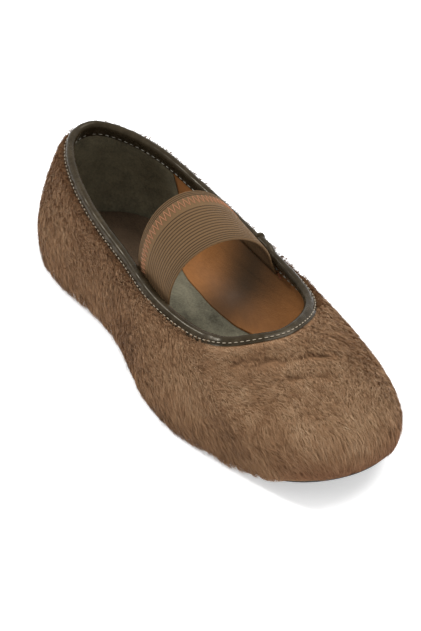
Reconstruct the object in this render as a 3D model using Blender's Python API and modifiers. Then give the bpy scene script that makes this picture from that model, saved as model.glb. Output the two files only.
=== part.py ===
"""Plush ballet flat, the right shoe, with a bound collar and an elastic instep strap.

The toe points along +X, the inner (big toe) side along +Y, and the shoe stands on z = 0.
Every size is in metres. The outer side of the foot is the little toe side, at -Y.
"""
import math
from collections import namedtuple

import bmesh
import bpy
import numpy as np

# Overall sizes of the last
SOLE_LENGTH = 0.252
BALL_WIDTH = 0.084
TOE_SPRING = 0.013
COLLAR_BACK_HEIGHT = 0.064
COLLAR_LOW_HEIGHT = 0.0432
THROAT_HEIGHT = 0.047
COLLAR_BACK_ALONG = 0.0076
THROAT_ALONG = 0.1848

# Layers of the upper
BACKING = 0.0008
LINING = 0.0012
PILE_DEPTH = 0.0045
PUFF_RUN = 0.006
HEM_OVERHANG = 0.0005
HEM_CLEARANCE = 0.0015
HEM_SOFTNESS = 0.001
HEM_SHARE = 0.75
HEM_REACH = 0.64
HEM_START = 0.6

# Sole, heel and insole
OUTSOLE_THICKNESS = 0.003
OUTSOLE_EDGE_ROUND = 0.0008
HEEL_LIFT = 0.003
HEEL_LENGTH = 0.060
HEEL_INSET = 0.001
ARCH_RISE = 0.004
INSOLE_THICKNESS = 0.002
PAD_THICKNESS = 0.0015
PAD_LENGTH = 0.066
PAD_INSET = 0.002
PAD_CORNER = 0.012

# Binding and strap
BINDING_LEATHER = 0.0009
BINDING_OUTSIDE = 0.0052
BINDING_INSIDE = 0.0078
JOINT_ALONG = 0.114
JOINT_OVERLAP = 0.009
JOINT_FADE = 1.5
JOINT_THICKENING = 0.9
FOLD_SHOULDER = 0.7
FOLD_WIDTH = 0.72
FOLD_END = 2.2
STRAP_THICKNESS = 0.0014
STRAP_TUCK = 0.008
STRAP_FOOT_DEPTH = 0.001
STRAP_WIDTH = 0.0305
STRAP_OUTER_FOOT = 0.122
STRAP_INNER_FOOT = 0.117
STRAP_RISE = 0.0455
STRAP_CLEARANCE = 0.0006

GAP = 0.0003

# Where the sole's curves start and stop, as shares of the sole's length
HEEL_FLAT_END = HEEL_LENGTH / SOLE_LENGTH
ARCH_START = 0.22
TREAD_START = 0.60
TREAD_END = 0.74
SPRING_POWER = 1.8

# How finely the shapes are cut
SECTIONS = 104
SECTION_CLEARANCE = 0.25
PROFILE_STEPS = 8
PROFILE_CROWDING = 1.3
PUFF_STEPS = (0.22, 0.55, 1.0)
LINING_STEPS = 6
LINING_CROWDING = 2.0
STRAP_STEPS = 30
STRAP_COLUMNS = (0.0, 0.5, 1.0)
CORNER_TURNS = (0, 25, 50, 72, 90)
WALL_SAMPLES = 49
COLLAR_SAMPLES = 400
WAY_STEP = 1e-4
STATION_SPACING = 0.75
SHARP_ANGLE = 40

Station = namedtuple("Station", "name foot_along foot_outer foot_inner collar_along collar_outer "
                     "collar_inner to_back to_throat top_lean top_pull low_lean low_pull")

# One row for each place round the shoe, from the heel's back to the toe's tip.
# foot_along is a share of the sole's length, collar_along of the opening's length, the
# half widths are shares of the ball width, to_back and to_throat say how far the collar
# has risen from its lowest height, the leans are in degrees and the pulls are shares of
# the straight way from collar to sole.
STATIONS = [
    Station("heel_back", 0.000, 0.000, 0.000, 0.000, 0.000, 0.000, 1.00, 0.00, 65, 0.35, 8, 0.40),
    Station("heel_round", 0.028, 0.215, 0.205, 0.030, 0.125, 0.110, 0.97, 0.00, 67, 0.35, 12, 0.40),
    Station("heel_side", 0.105, 0.375, 0.370, 0.140, 0.245, 0.245, 0.82, 0.00, 73, 0.35, 14, 0.40),
    Station("heel_front", 0.240, 0.390, 0.345, 0.330, 0.320, 0.335, 0.54, 0.00, 77, 0.35, 12, 0.40),
    Station("waist", 0.420, 0.400, 0.310, 0.530, 0.335, 0.385, 0.28, 0.00, 76, 0.35, 12, 0.40),
    Station("ball_rear", 0.580, 0.485, 0.400, 0.700, 0.350, 0.395, 0.10, 0.00, 64, 0.38, 15, 0.45),
    Station("ball", 0.710, 0.480, 0.505, 0.845, 0.305, 0.375, 0.00, 0.00, 54, 0.42, 11, 0.45),
    Station("toe_rear", 0.840, 0.382, 0.475, 0.925, 0.250, 0.285, 0.00, 0.30, 38, 0.48, 6, 0.40),
    Station("toe_corner", 0.940, 0.300, 0.345, 0.962, 0.185, 0.200, 0.00, 0.63, 28, 0.52, 9, 0.33),
    Station("toe_round", 0.985, 0.155, 0.205, 0.988, 0.085, 0.115, 0.00, 0.95, 20, 0.56, 13, 0.30),
    Station("toe_tip", 1.000, -0.025, 0.025, 1.000, -0.025, 0.025, 0.00, 1.00, 15, 0.57, 15, 0.30),
]

StrapHandle = namedtuple("StrapHandle", "name rise along outward")

# How each end of each strap edge leaves the collar: upward as a share of the strap's
# rise, towards the toe as a share of the strap's width, and out of the shoe as a share
# of the ball width.
STRAP_HANDLES = {
    "rear": (StrapHandle("outer", 1.00, 0.32, 0.07), StrapHandle("inner", 1.00, 0.34, -0.20)),
    "front": (StrapHandle("outer", 0.80, 0.20, 0.025), StrapHandle("inner", 0.80, 0.37, -0.14)),
}

Finish = namedtuple("Finish", "colour roughness metallic")

FINISHES = {
    "upper": Finish((0.190, 0.105, 0.055), 0.85, 0.0),
    "collar_binding": Finish((0.030, 0.018, 0.012), 0.35, 0.0),
    "strap": Finish((0.150, 0.090, 0.050), 0.80, 0.0),
    "insole": Finish((0.085, 0.080, 0.050), 0.90, 0.0),
    "heel_pad": Finish((0.028, 0.018, 0.010), 0.85, 0.0),
    "outsole": Finish((0.012, 0.012, 0.012), 0.70, 0.0),
    "heel": Finish((0.010, 0.010, 0.010), 0.70, 0.0),
}


def smooth_step(value):
    """Rises gently from 0 to 1 as value goes from 0 to 1."""
    held = np.clip(value, 0.0, 1.0)
    return held * held * (3.0 - 2.0 * held)


def closed_spline(knots, values):
    """Returns the closed cubic curve through values at knots, a function of the way round."""
    knots, values = np.asarray(knots), np.asarray(values)
    count = len(knots)
    span = np.diff(np.append(knots, knots[0] + 1.0))
    slope = (np.roll(values, -1) - values) / span
    matrix, right = np.zeros((count, count)), np.zeros(count)
    for row in range(count):
        matrix[row, row - 1] += span[row - 1]
        matrix[row, row] += 2.0 * (span[row - 1] + span[row])
        matrix[row, (row + 1) % count] += span[row]
        right[row] = 6.0 * (slope[row] - slope[row - 1])
    bend = np.linalg.solve(matrix, right)

    def at(way):
        way = np.asarray(way) % 1.0
        low = np.searchsorted(knots, way, side="right") - 1
        high = (low + 1) % count
        ahead = way - knots[low]
        width = span[low]
        left = width - ahead
        curve = (bend[low] * left**3 + bend[high] * ahead**3) / (6.0 * width)
        start = (values[low] / width - bend[low] * width / 6.0) * left
        end = (values[high] / width - bend[high] * width / 6.0) * ahead
        return curve + start + end

    return at


def sole_bottom(along):
    """Height of the outsole's underside over the floor."""
    share = np.asarray(along) / SOLE_LENGTH
    heel = HEEL_LIFT * (1.0 - smooth_step((share - HEEL_FLAT_END) / (TREAD_START - HEEL_FLAT_END)))
    arch = np.clip((share - ARCH_START) / (TREAD_START - ARCH_START), 0.0, 1.0)
    toe = np.clip((share - TREAD_END) / (1.0 - TREAD_END), 0.0, None)
    return heel + ARCH_RISE * np.sin(math.pi * arch) ** 2 + TOE_SPRING * toe**SPRING_POWER


def sole_top(along):
    """Height of the outsole's upper face over the floor."""
    return sole_bottom(along) + OUTSOLE_THICKNESS


def hem_height(along):
    """Height of the pile's lower edge: a little under the outsole where that is raised."""
    free = sole_bottom(along) - HEM_OVERHANG - HEM_CLEARANCE
    return HEM_CLEARANCE + 0.5 * (free + np.sqrt(free**2 + HEM_SOFTNESS**2))


class Last:
    """The shoe's form: where the collar and the sole's edge run, and the wall between them.

    Places round the shoe are shares of the way round: 0 is the heel's back, 0.5 the toe's
    tip, and the outer side comes first.
    """

    def __init__(self, stations):
        back = stations[-2:0:-1]
        sides = [(row, -1.0) for row in stations] + [(row, 1.0) for row in back]
        self.knots = self.ways(stations)
        opening = THROAT_ALONG - COLLAR_BACK_ALONG
        self.foot_x = self.track(sides, lambda row, side: row.foot_along * SOLE_LENGTH)
        self.foot_y = self.track(
            sides, lambda row, side: BALL_WIDTH * (row.foot_inner if side > 0 else -row.foot_outer))
        self.collar_x = self.track(sides, lambda row, side: COLLAR_BACK_ALONG + row.collar_along * opening)
        self.collar_y = self.track(
            sides, lambda row, side: BALL_WIDTH * (row.collar_inner if side > 0 else -row.collar_outer))
        self.collar_z = self.track(sides, self.collar_height)
        self.leans = {name: self.track(sides, lambda row, side, name=name: getattr(row, name))
                      for name in ("top_lean", "top_pull", "low_lean", "low_pull")}

    @staticmethod
    def ways(stations):
        """Shares of the way round at which the stations stand, the same on both sides."""
        steps = []
        for one, two in zip(stations, stations[1:]):
            run = (two.foot_along - one.foot_along) * SOLE_LENGTH
            outer = math.hypot(run, (two.foot_outer - one.foot_outer) * BALL_WIDTH)
            inner = math.hypot(run, (two.foot_inner - one.foot_inner) * BALL_WIDTH)
            steps.append(((outer + inner) / 2.0) ** STATION_SPACING)
        out = np.concatenate([[0.0], np.cumsum(steps)]) / (2.0 * sum(steps))
        return np.concatenate([out, 1.0 - out[-2:0:-1]])

    def track(self, sides, rule):
        """A closed curve through what rule says for each station on each side."""
        return closed_spline(self.knots, [rule(row, side) for row, side in sides])

    @staticmethod
    def collar_height(row, side):
        to_back = row.to_back * (COLLAR_BACK_HEIGHT - COLLAR_LOW_HEIGHT)
        return COLLAR_LOW_HEIGHT + to_back + row.to_throat * (THROAT_HEIGHT - COLLAR_LOW_HEIGHT)

    def foot(self, way):
        """The sole's edge in plan."""
        return np.stack([self.foot_x(way), self.foot_y(way)], -1)

    def collar(self, way):
        """The collar's top edge."""
        return np.stack([self.collar_x(way), self.collar_y(way), self.collar_z(way)], -1)

    @staticmethod
    def outward(curve, way):
        """The level direction out of the shoe, square to a closed curve seen from above."""
        step = (curve(way + WAY_STEP) - curve(way - WAY_STEP))[..., :2]
        out = np.stack([step[..., 1], -step[..., 0]], -1)
        return out / np.linalg.norm(out, axis=-1, keepdims=True)

    def skin(self, way, down):
        """Points of the wall's middle surface, down being 0 at the collar and 1 at the sole."""
        way = np.asarray(way)
        foot, collar = self.foot(way), self.collar(way)
        foot = np.concatenate([foot, sole_top(foot[:, :1])], -1)
        from_foot, from_collar = self.outward(self.foot, way), self.outward(self.collar, way)
        reach = np.linalg.norm(foot - collar, axis=-1)
        top = np.radians(self.leans["top_lean"](way))
        low = np.radians(self.leans["low_lean"](way))
        above = np.concatenate([from_collar * np.cos(top)[:, None], -np.sin(top)[:, None]], -1)
        below = np.concatenate([from_foot * np.sin(low)[:, None], np.cos(low)[:, None]], -1)
        high = collar + above * (reach * self.leans["top_pull"](way))[:, None]
        deep = foot + below * (reach * self.leans["low_pull"](way))[:, None]
        left = (1.0 - down)[None, :, None]
        gone = down[None, :, None]
        return (left**3 * collar[:, None] + 3 * left**2 * gone * high[:, None]
                + 3 * left * gone**2 * deep[:, None] + gone**3 * foot[:, None])

    def wall(self, way, distances, shares):
        """Points and outward directions down the wall at each place round the shoe.

        distances are measured down from the collar's edge, and shares are of what is left
        below the last distance.
        """
        down = np.linspace(0.0, 1.0, WALL_SAMPLES)
        way = np.asarray(way, float)
        points = self.skin(way, down)
        along = self.skin(way + WAY_STEP, down) - self.skin(way - WAY_STEP, down)
        out = np.cross(np.gradient(points, axis=1), along)
        out /= np.linalg.norm(out, axis=-1, keepdims=True)
        rows = []
        for line, normal in zip(points, out):
            gone = np.concatenate([[0.0], np.cumsum(np.linalg.norm(np.diff(line, axis=0), axis=1))])
            start = distances[-1]
            wanted = np.concatenate([distances, start + np.asarray(shares) * (gone[-1] - start)])
            place = [np.interp(wanted, gone, line[:, axis]) for axis in range(3)]
            facing = np.stack([np.interp(wanted, gone, normal[:, axis]) for axis in range(3)], -1)
            facing /= np.linalg.norm(facing, axis=-1, keepdims=True)
            rows.append((np.stack(place, -1), facing))
        return rows

    def way_at(self, along, inner):
        """The place round the shoe where the collar passes a distance along it."""
        ways = np.linspace(0.5, 1.0 if inner else 0.0, COLLAR_SAMPLES)
        found = self.collar_x(ways)
        return float(np.interp(-along, -found, ways))


def new_object(name, bm, collection):
    """Turns a bmesh into an object with its own material."""
    bmesh.ops.recalc_face_normals(bm, faces=bm.faces)
    mesh = bpy.data.meshes.new(name)
    bm.to_mesh(mesh)
    bm.free()
    item = bpy.data.objects.new(name, mesh)
    collection.objects.link(item)
    finish = FINISHES[name]
    material = bpy.data.materials.new(name)
    material.use_nodes = True
    shader = material.node_tree.nodes["Principled BSDF"]
    shader.inputs["Base Color"].default_value = (*finish.colour, 1.0)
    shader.inputs["Roughness"].default_value = finish.roughness
    shader.inputs["Metallic"].default_value = finish.metallic
    mesh.materials.append(material)
    mesh.shade_smooth()
    mesh.set_sharp_from_angle(angle=math.radians(SHARP_ANGLE))
    return item


def ring_of_sections(sections):
    """A closed band through closed sections, each with as many points, the last joined to the first."""
    bm = bmesh.new()
    loops = [[bm.verts.new(point) for point in section] for section in sections]
    for one, two in zip(loops, loops[1:] + loops[:1]):
        for index in range(len(one)):
            after = (index + 1) % len(one)
            bm.faces.new((one[index], one[after], two[after], two[index]))
    return bm


def plate(outer, inner, levels):
    """A plate between an outer and an inner side, each a row of plan points from the heel.

    levels lists, from the top face to the bottom one, an inset from the sides and a rule
    for the height. Both sides start at one shared point, and may end at one.
    """
    bm = bmesh.new()
    shared_end = np.allclose(outer[-1], inner[-1])
    last = len(inner) - 1 if shared_end else len(inner)
    loop = np.concatenate([outer, inner[1:last][::-1]])
    step = np.roll(loop, -1, 0) - np.roll(loop, 1, 0)
    out = np.stack([step[:, 1], -step[:, 0]], -1)
    out /= np.linalg.norm(out, axis=1, keepdims=True)
    rings = []
    for inset, rule in levels:
        plan = loop - out * inset
        rings.append([bm.verts.new((x, y, rule(x))) for x, y in plan])
    for one, two in zip(rings, rings[1:]):
        for index in range(len(loop)):
            after = (index + 1) % len(loop)
            bm.faces.new((one[index], one[after], two[after], two[index]))
    for ring in (rings[0], rings[-1]):
        count = len(ring)
        for index in range(len(outer) - 1):
            corners = [ring[index], ring[index + 1], ring[(count - index - 1) % count], ring[-index % count]]
            unique = list(dict.fromkeys(corners))
            if len(unique) > 2:
                bm.faces.new(unique)
    return bm


def sole_sides(last, inset):
    """The sole's outline, moved in by inset, as an outer and an inner row from heel to toe."""
    half = SECTIONS // 2
    ways = np.arange(half + 1) / SECTIONS
    outer = last.foot(ways) - last.outward(last.foot, ways) * inset
    inner = last.foot(-ways) - last.outward(last.foot, -ways) * inset
    inner[0], inner[-1] = outer[0], outer[-1]
    return outer, inner


def heel_end(last, inset, length, corner=0.0):
    """The outline's part behind length, squared off there with round corners."""
    outer, inner = sole_sides(last, inset)
    cut = [int(np.searchsorted(side[:, 0], length - corner - GAP)) for side in (outer, inner)]
    keep = min(cut)
    ends = []
    turns = np.radians(CORNER_TURNS) if corner else [0.0]
    for side in (outer, inner):
        rows = list(side[:keep])
        for turn in turns:
            along = length - corner * (1.0 - math.sin(turn))
            across = np.interp(along, side[:, 0], side[:, 1])
            pull = corner * (1.0 - math.cos(turn))
            rows.append((along, across - math.copysign(pull, across)))
        ends.append(np.array(rows))
    return ends


def pile(distance):
    """Depth of the plush at a distance down from the collar's edge: it puffs out under the binding."""
    return PILE_DEPTH * np.sin(np.clip((distance - BINDING_OUTSIDE) / PUFF_RUN, 0.0, 1.0) * math.pi / 2.0)


def edge_drop():
    """How far the upper's own edge lies under the binding's top."""
    return BINDING_LEATHER + GAP


def make_upper(last, collection):
    """The plush wall: open at the collar and underneath, its pile hanging over the sole's edge."""
    ways = np.arange(SECTIONS) / SECTIONS
    first = edge_drop()
    outside = [first, (first + BINDING_OUTSIDE) / 2, BINDING_OUTSIDE]
    outside += [BINDING_OUTSIDE + PUFF_RUN * share for share in PUFF_STEPS]
    inside = [first, (first + BINDING_INSIDE) / 2, BINDING_INSIDE]
    steps = np.linspace(1.0, 0.0, PROFILE_STEPS + 1)[1:]
    shares = 1.0 - steps**PROFILE_CROWDING
    outer_rows = last.wall(ways, outside, shares)
    inner_steps = np.linspace(1.0, 0.0, LINING_STEPS + 1)[1:]
    inner_rows = last.wall(ways, inside, 1.0 - inner_steps**LINING_CROWDING)
    foot, out = last.foot(ways), last.outward(last.foot, ways)
    hem = 1.0 - (1.0 - HEM_SHARE) * np.clip((shares - HEM_START) / (1.0 - HEM_START), 0.0, 1.0) ** 2
    depth = np.concatenate([pile(np.array(outside)), PILE_DEPTH * hem])
    hem_reach = BACKING + PILE_DEPTH * HEM_REACH
    sections = []
    for index in range(SECTIONS):
        place, facing = outer_rows[index]
        skin = place + facing * (BACKING + depth)[:, None]
        along = foot[index][0]
        hem_low, base = hem_height(along), sole_top(along) + GAP
        floor_side = []
        for offset, height in ((hem_reach, hem_low), (GAP, hem_low), (GAP, base), (-LINING, base)):
            x, y = foot[index] + out[index] * offset
            floor_side.append((x, y, height))
        place, facing = inner_rows[index]
        lining = (place - facing * LINING)[:-1][::-1]
        sections.append([*skin, *floor_side, *lining])
    return new_object("upper", ring_of_sections(sections), collection)


def binding_ways(last):
    """Places round the collar for the binding's sections, with extra ones at its joint."""
    joint = last.way_at(JOINT_ALONG, inner=True)
    end = last.way_at(JOINT_ALONG + JOINT_OVERLAP, inner=True)
    fade = last.way_at(JOINT_ALONG + JOINT_FADE * JOINT_OVERLAP, inner=True)
    edge = (joint - end) * GAP / JOINT_OVERLAP
    regular = np.arange(SECTIONS) / SECTIONS
    clear = SECTION_CLEARANCE / SECTIONS
    kept = [way for way in regular if min(abs(way - joint), abs(way - end), abs(way - fade)) > clear]
    ways = np.array(sorted(kept + [joint, joint + edge, end, fade]))
    doubled = np.interp(ways, [fade, end, joint, joint + edge], [0.0, 1.0, 1.0, 0.0])
    return ways, doubled


def make_binding(last, collection):
    """The leather folded over the collar, its front end lapped over its rear end on the inner side."""
    ways, doubled = binding_ways(last)
    first = edge_drop()
    shoulder, end = BINDING_LEATHER * FOLD_SHOULDER, BINDING_LEATHER * FOLD_END
    outside = [(first + BINDING_OUTSIDE) / 2, BINDING_OUTSIDE]
    inside = [(first + BINDING_INSIDE) / 2, BINDING_INSIDE]
    distances = sorted([0.0, shoulder, BINDING_LEATHER, end] + outside + inside)
    rows = last.wall(ways, distances, [1.0])
    order = {value: index for index, value in enumerate(distances)}
    near_out, near_in = BACKING + GAP, LINING + GAP
    sections = []
    for (place, facing), lap in zip(rows, doubled):
        leather = BINDING_LEATHER * (1.0 + JOINT_THICKENING * lap)
        far_out, far_in = near_out + leather, near_in + BINDING_LEATHER
        middle = (far_out - far_in) / 2.0
        half = FOLD_WIDTH * (far_out + far_in) / 2.0
        raised = leather - BINDING_LEATHER
        route = [
            (far_out, outside[1], 0.0), (far_out, outside[0], 0.0), (far_out, end, 0.0),
            (middle + half, shoulder, raised), (middle, 0.0, raised), (middle - half, shoulder, raised),
            (-far_in, end, 0.0), (-far_in, inside[0], 0.0), (-far_in, inside[1], 0.0),
            (-near_in, inside[1], 0.0), (-near_in, inside[0], 0.0), (-near_in, BINDING_LEATHER, 0.0),
            (near_out, BINDING_LEATHER, 0.0), (near_out, outside[0], 0.0), (near_out, outside[1], 0.0),
        ]
        sections.append([place[order[distance]] + facing[order[distance]] * offset + (0.0, 0.0, lift)
                         for offset, distance, lift in route])
    return new_object("collar_binding", ring_of_sections(sections), collection)


def cubic(points, share):
    """A point of the cubic arc with these four control points."""
    left = 1.0 - share
    weights = (left**3, 3 * left**2 * share, 3 * left * share**2, share**3)
    return sum(weight * np.asarray(point) for weight, point in zip(weights, points))


def strap_edge(last, name, shift):
    """One edge of the strap: up inside the outer wall, over the instep and down inside the inner one."""
    inward = LINING + GAP + BINDING_LEATHER + STRAP_CLEARANCE + STRAP_THICKNESS / 2
    depths = [STRAP_FOOT_DEPTH, STRAP_TUCK / 2, STRAP_TUCK]
    feet = []
    for along, inner in ((STRAP_OUTER_FOOT, False), (STRAP_INNER_FOOT, True)):
        (place, facing), = last.wall([last.way_at(along + shift, inner)], depths, [1.0])
        feet.append(place[:3] - facing[:3] * inward)
    handles = []
    for row, foot, side in zip(STRAP_HANDLES[name], feet, (-1.0, 1.0)):
        lean = (row.along * STRAP_WIDTH, side * row.outward * BALL_WIDTH, row.rise * STRAP_RISE)
        handles.append(foot[0] + np.array(lean))
    shares = np.linspace(0.0, 1.0, STRAP_STEPS)
    arc = [cubic((feet[0][0], *handles, feet[1][0]), share) for share in shares]
    return [feet[0][2], feet[0][1], *arc, feet[1][1], feet[1][2]]


def make_strap(last, collection):
    """The elastic band: an open sheet between its two edges, given its thickness."""
    rear = strap_edge(last, "rear", -STRAP_WIDTH / 2)
    front = strap_edge(last, "front", STRAP_WIDTH / 2)
    bm = bmesh.new()
    rows = [[bm.verts.new(one * (1 - share) + two * share) for share in STRAP_COLUMNS]
            for one, two in zip(rear, front)]
    for one, two in zip(rows, rows[1:]):
        for index in range(len(STRAP_COLUMNS) - 1):
            bm.faces.new((one[index], one[index + 1], two[index + 1], two[index]))
    item = new_object("strap", bm, collection)
    thick = item.modifiers.new("thickness", "SOLIDIFY")
    thick.thickness = STRAP_THICKNESS
    thick.offset = 0.0
    thick.use_even_offset = True
    return item


def make_outsole(last, collection):
    """The thin outsole: the last's own outline, with arch and toe spring."""
    outer, inner = sole_sides(last, 0.0)
    levels = [
        (0.0, sole_top),
        (0.0, lambda x: sole_bottom(x) + OUTSOLE_EDGE_ROUND),
        (OUTSOLE_EDGE_ROUND, sole_bottom),
    ]
    return new_object("outsole", plate(outer, inner, levels), collection)


def make_heel(last, collection):
    """The low heel lift under the outsole."""
    outer, inner = heel_end(last, HEEL_INSET, HEEL_LENGTH)
    levels = [(0.0, lambda x: sole_bottom(x) - GAP), (0.0, lambda x: 0.0)]
    return new_object("heel", plate(outer, inner, levels), collection)


def make_insole(last, collection):
    """The insole, inside the upper's lining and on the outsole."""
    outer, inner = sole_sides(last, LINING + GAP)
    levels = [(0.0, lambda x: sole_top(x) + GAP + INSOLE_THICKNESS), (0.0, lambda x: sole_top(x) + GAP)]
    return new_object("insole", plate(outer, inner, levels), collection)


def make_heel_pad(last, collection):
    """The soft pad on the insole's heel."""
    outer, inner = heel_end(last, LINING + GAP + PAD_INSET, PAD_LENGTH, PAD_CORNER)
    base = 2 * GAP + INSOLE_THICKNESS
    levels = [(0.0, lambda x: sole_top(x) + base + PAD_THICKNESS), (0.0, lambda x: sole_top(x) + base)]
    return new_object("heel_pad", plate(outer, inner, levels), collection)


def centre(items):
    """Moves the shoe so that its bounding box stands centred over the origin."""
    corners = np.array([vertex.co for item in items for vertex in item.data.vertices])
    middle = (corners.min(0) + corners.max(0)) / 2
    for item in items:
        item.location = (-middle[0], -middle[1], 0.0)


def main():
    for item in list(bpy.data.objects):
        bpy.data.objects.remove(item, do_unlink=True)
    collection = bpy.data.collections.new("plush_ballet_flat")
    bpy.context.scene.collection.children.link(collection)
    last = Last(STATIONS)
    makers = (make_upper, make_outsole, make_heel, make_insole, make_heel_pad, make_binding, make_strap)
    centre([make(last, collection) for make in makers])


main()
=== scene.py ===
"""Looks of the plush ballet flat: fur, linings, binding, strap and sole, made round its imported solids."""

import math
from collections import namedtuple

import bmesh
import bpy
import numpy as np
from mathutils import Matrix, Vector


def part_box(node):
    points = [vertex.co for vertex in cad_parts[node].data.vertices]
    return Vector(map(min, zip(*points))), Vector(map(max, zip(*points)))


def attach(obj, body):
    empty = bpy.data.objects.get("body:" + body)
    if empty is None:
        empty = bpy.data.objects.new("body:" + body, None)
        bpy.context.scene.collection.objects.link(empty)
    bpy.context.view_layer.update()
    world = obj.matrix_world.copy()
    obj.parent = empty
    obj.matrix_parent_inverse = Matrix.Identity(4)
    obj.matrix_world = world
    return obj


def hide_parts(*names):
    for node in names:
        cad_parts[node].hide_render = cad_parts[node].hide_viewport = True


bl_info = {
    "name": "Plush ballet flat",
    "version": (1, 0, 0),
    "blender": (4, 5, 0),
    "location": "View3D > Sidebar > Ballet flat",
    "description": "Makes the fur, linings, binding, strap and sole of a plush ballet flat",
    "category": "Add Mesh",
}

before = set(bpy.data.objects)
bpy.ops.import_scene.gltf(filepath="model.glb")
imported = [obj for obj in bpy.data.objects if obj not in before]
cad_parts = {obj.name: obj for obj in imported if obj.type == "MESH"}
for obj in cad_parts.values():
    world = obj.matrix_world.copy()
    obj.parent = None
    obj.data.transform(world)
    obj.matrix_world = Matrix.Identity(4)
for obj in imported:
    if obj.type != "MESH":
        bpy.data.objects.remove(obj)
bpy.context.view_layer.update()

# The last, in metres and shares, as the solids have it
SOLE_LENGTH = 0.252
BALL_WIDTH = 0.084
TOE_SPRING = 0.013
COLLAR_BACK_HEIGHT = 0.064
COLLAR_LOW_HEIGHT = 0.0432
THROAT_HEIGHT = 0.047
COLLAR_BACK_ALONG = 0.0076
THROAT_ALONG = 0.1848
BACKING = 0.0008
LINING = 0.0012
PILE_DEPTH = 0.0045
PUFF_RUN = 0.006
HEM_OVERHANG = 0.0005
HEM_CLEARANCE = 0.0015
HEM_SOFTNESS = 0.001
OUTSOLE_THICKNESS = 0.003
OUTSOLE_EDGE_ROUND = 0.0008
HEEL_LIFT = 0.003
HEEL_LENGTH = 0.060
HEEL_INSET = 0.001
ARCH_RISE = 0.004
INSOLE_THICKNESS = 0.002
PAD_THICKNESS = 0.0015
PAD_LENGTH = 0.066
PAD_INSET = 0.002
PAD_CORNER = 0.012
BINDING_LEATHER = 0.0009
BINDING_OUTSIDE = 0.0052
BINDING_INSIDE = 0.0078
JOINT_ALONG = 0.114
JOINT_OVERLAP = 0.009
STRAP_THICKNESS = 0.0014
STRAP_TUCK = 0.008
STRAP_FOOT_DEPTH = 0.001
STRAP_WIDTH = 0.0305
STRAP_OUTER_FOOT = 0.122
STRAP_INNER_FOOT = 0.117
STRAP_RISE = 0.0455
STRAP_CLEARANCE = 0.0006
GAP = 0.0003
HEEL_FLAT_END = HEEL_LENGTH / SOLE_LENGTH
ARCH_START = 0.22
TREAD_START = 0.60
TREAD_END = 0.74
SPRING_POWER = 1.8
STATION_SPACING = 0.75

Station = namedtuple("Station", "name foot_along foot_outer foot_inner collar_along collar_outer "
                     "collar_inner to_back to_throat top_lean top_pull low_lean low_pull")

STATIONS = [
    Station("heel_back", 0.000, 0.000, 0.000, 0.000, 0.000, 0.000, 1.00, 0.00, 65, 0.35, 8, 0.40),
    Station("heel_round", 0.028, 0.215, 0.205, 0.030, 0.125, 0.110, 0.97, 0.00, 67, 0.35, 12, 0.40),
    Station("heel_side", 0.105, 0.375, 0.370, 0.140, 0.245, 0.245, 0.82, 0.00, 73, 0.35, 14, 0.40),
    Station("heel_front", 0.240, 0.390, 0.345, 0.330, 0.320, 0.335, 0.54, 0.00, 77, 0.35, 12, 0.40),
    Station("waist", 0.420, 0.400, 0.310, 0.530, 0.335, 0.385, 0.28, 0.00, 76, 0.35, 12, 0.40),
    Station("ball_rear", 0.580, 0.485, 0.400, 0.700, 0.350, 0.395, 0.10, 0.00, 64, 0.38, 15, 0.45),
    Station("ball", 0.710, 0.480, 0.505, 0.845, 0.305, 0.375, 0.00, 0.00, 54, 0.42, 11, 0.45),
    Station("toe_rear", 0.840, 0.382, 0.475, 0.925, 0.250, 0.285, 0.00, 0.30, 38, 0.48, 6, 0.40),
    Station("toe_corner", 0.940, 0.300, 0.345, 0.962, 0.185, 0.200, 0.00, 0.63, 28, 0.52, 9, 0.33),
    Station("toe_round", 0.985, 0.155, 0.205, 0.988, 0.085, 0.115, 0.00, 0.95, 20, 0.56, 13, 0.30),
    Station("toe_tip", 1.000, -0.025, 0.025, 1.000, -0.025, 0.025, 0.00, 1.00, 15, 0.57, 15, 0.30),
]

StrapHandle = namedtuple("StrapHandle", "name rise along outward")

STRAP_HANDLES = {
    "rear": (StrapHandle("outer", 1.00, 0.32, 0.07), StrapHandle("inner", 1.00, 0.34, -0.20)),
    "front": (StrapHandle("outer", 0.80, 0.20, 0.025), StrapHandle("inner", 0.80, 0.37, -0.14)),
}

# How finely the form is kept and cut
FORM_WAYS = 720
FORM_STEPS = 72
WAY_STEP = 1e-4
BAND_SECTIONS = 360
MERGE = 1e-6
FUR_START = BINDING_OUTSIDE - 0.0003
SQUARE_CM_PER_M = 1e4

# Angles in degrees from which an edge of a piece is kept sharp
LINING_CORNER = 50
BINDING_CORNER = 60
PLATE_CORNER = 40

# The rows of stitches, in from the binding's outer and inner edges
OUTER_ROW_INSET = 0.0010
INNER_ROW_INSET = 0.0012

# The grooves between the strap's ribs, in millimetres from its rear edge, and their width
STRAP_GROOVES = (0.9, 1.8, 2.7, 9.8, 11.3, 12.8, 14.3, 15.8, 17.3, 18.8, 20.3, 21.8, 23.3, 24.8,
                 26.2, 27.4, 28.5, 29.6)
GROOVE_WIDTH = 0.23

# Where the tread's grooves start and end: from the heel's back, and in from the heel's front
GROOVES_START = 0.135
GROOVES_END = 0.232
HEEL_GROOVES_START = 0.006
HEEL_GROOVES_INSET = 0.005

# The map that the strands bring for the export's bake, under the name that the export looks for
STRAND_MAP = "OFBake"

# Where the lining meets the insole at the arch, from behind to in front: x and y in the frame
ARCH_EDGE = [
    (-0.086, 0.0285), (-0.070, 0.0215), (-0.053, 0.0159), (-0.0416, 0.0132), (-0.0314, 0.0123),
    (-0.0192, 0.0115), (-0.0104, 0.0125), (0.0, 0.0149), (0.0073, 0.0189), (0.017, 0.0245),
    (0.028, 0.0300), (0.040, 0.0345),
]

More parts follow.
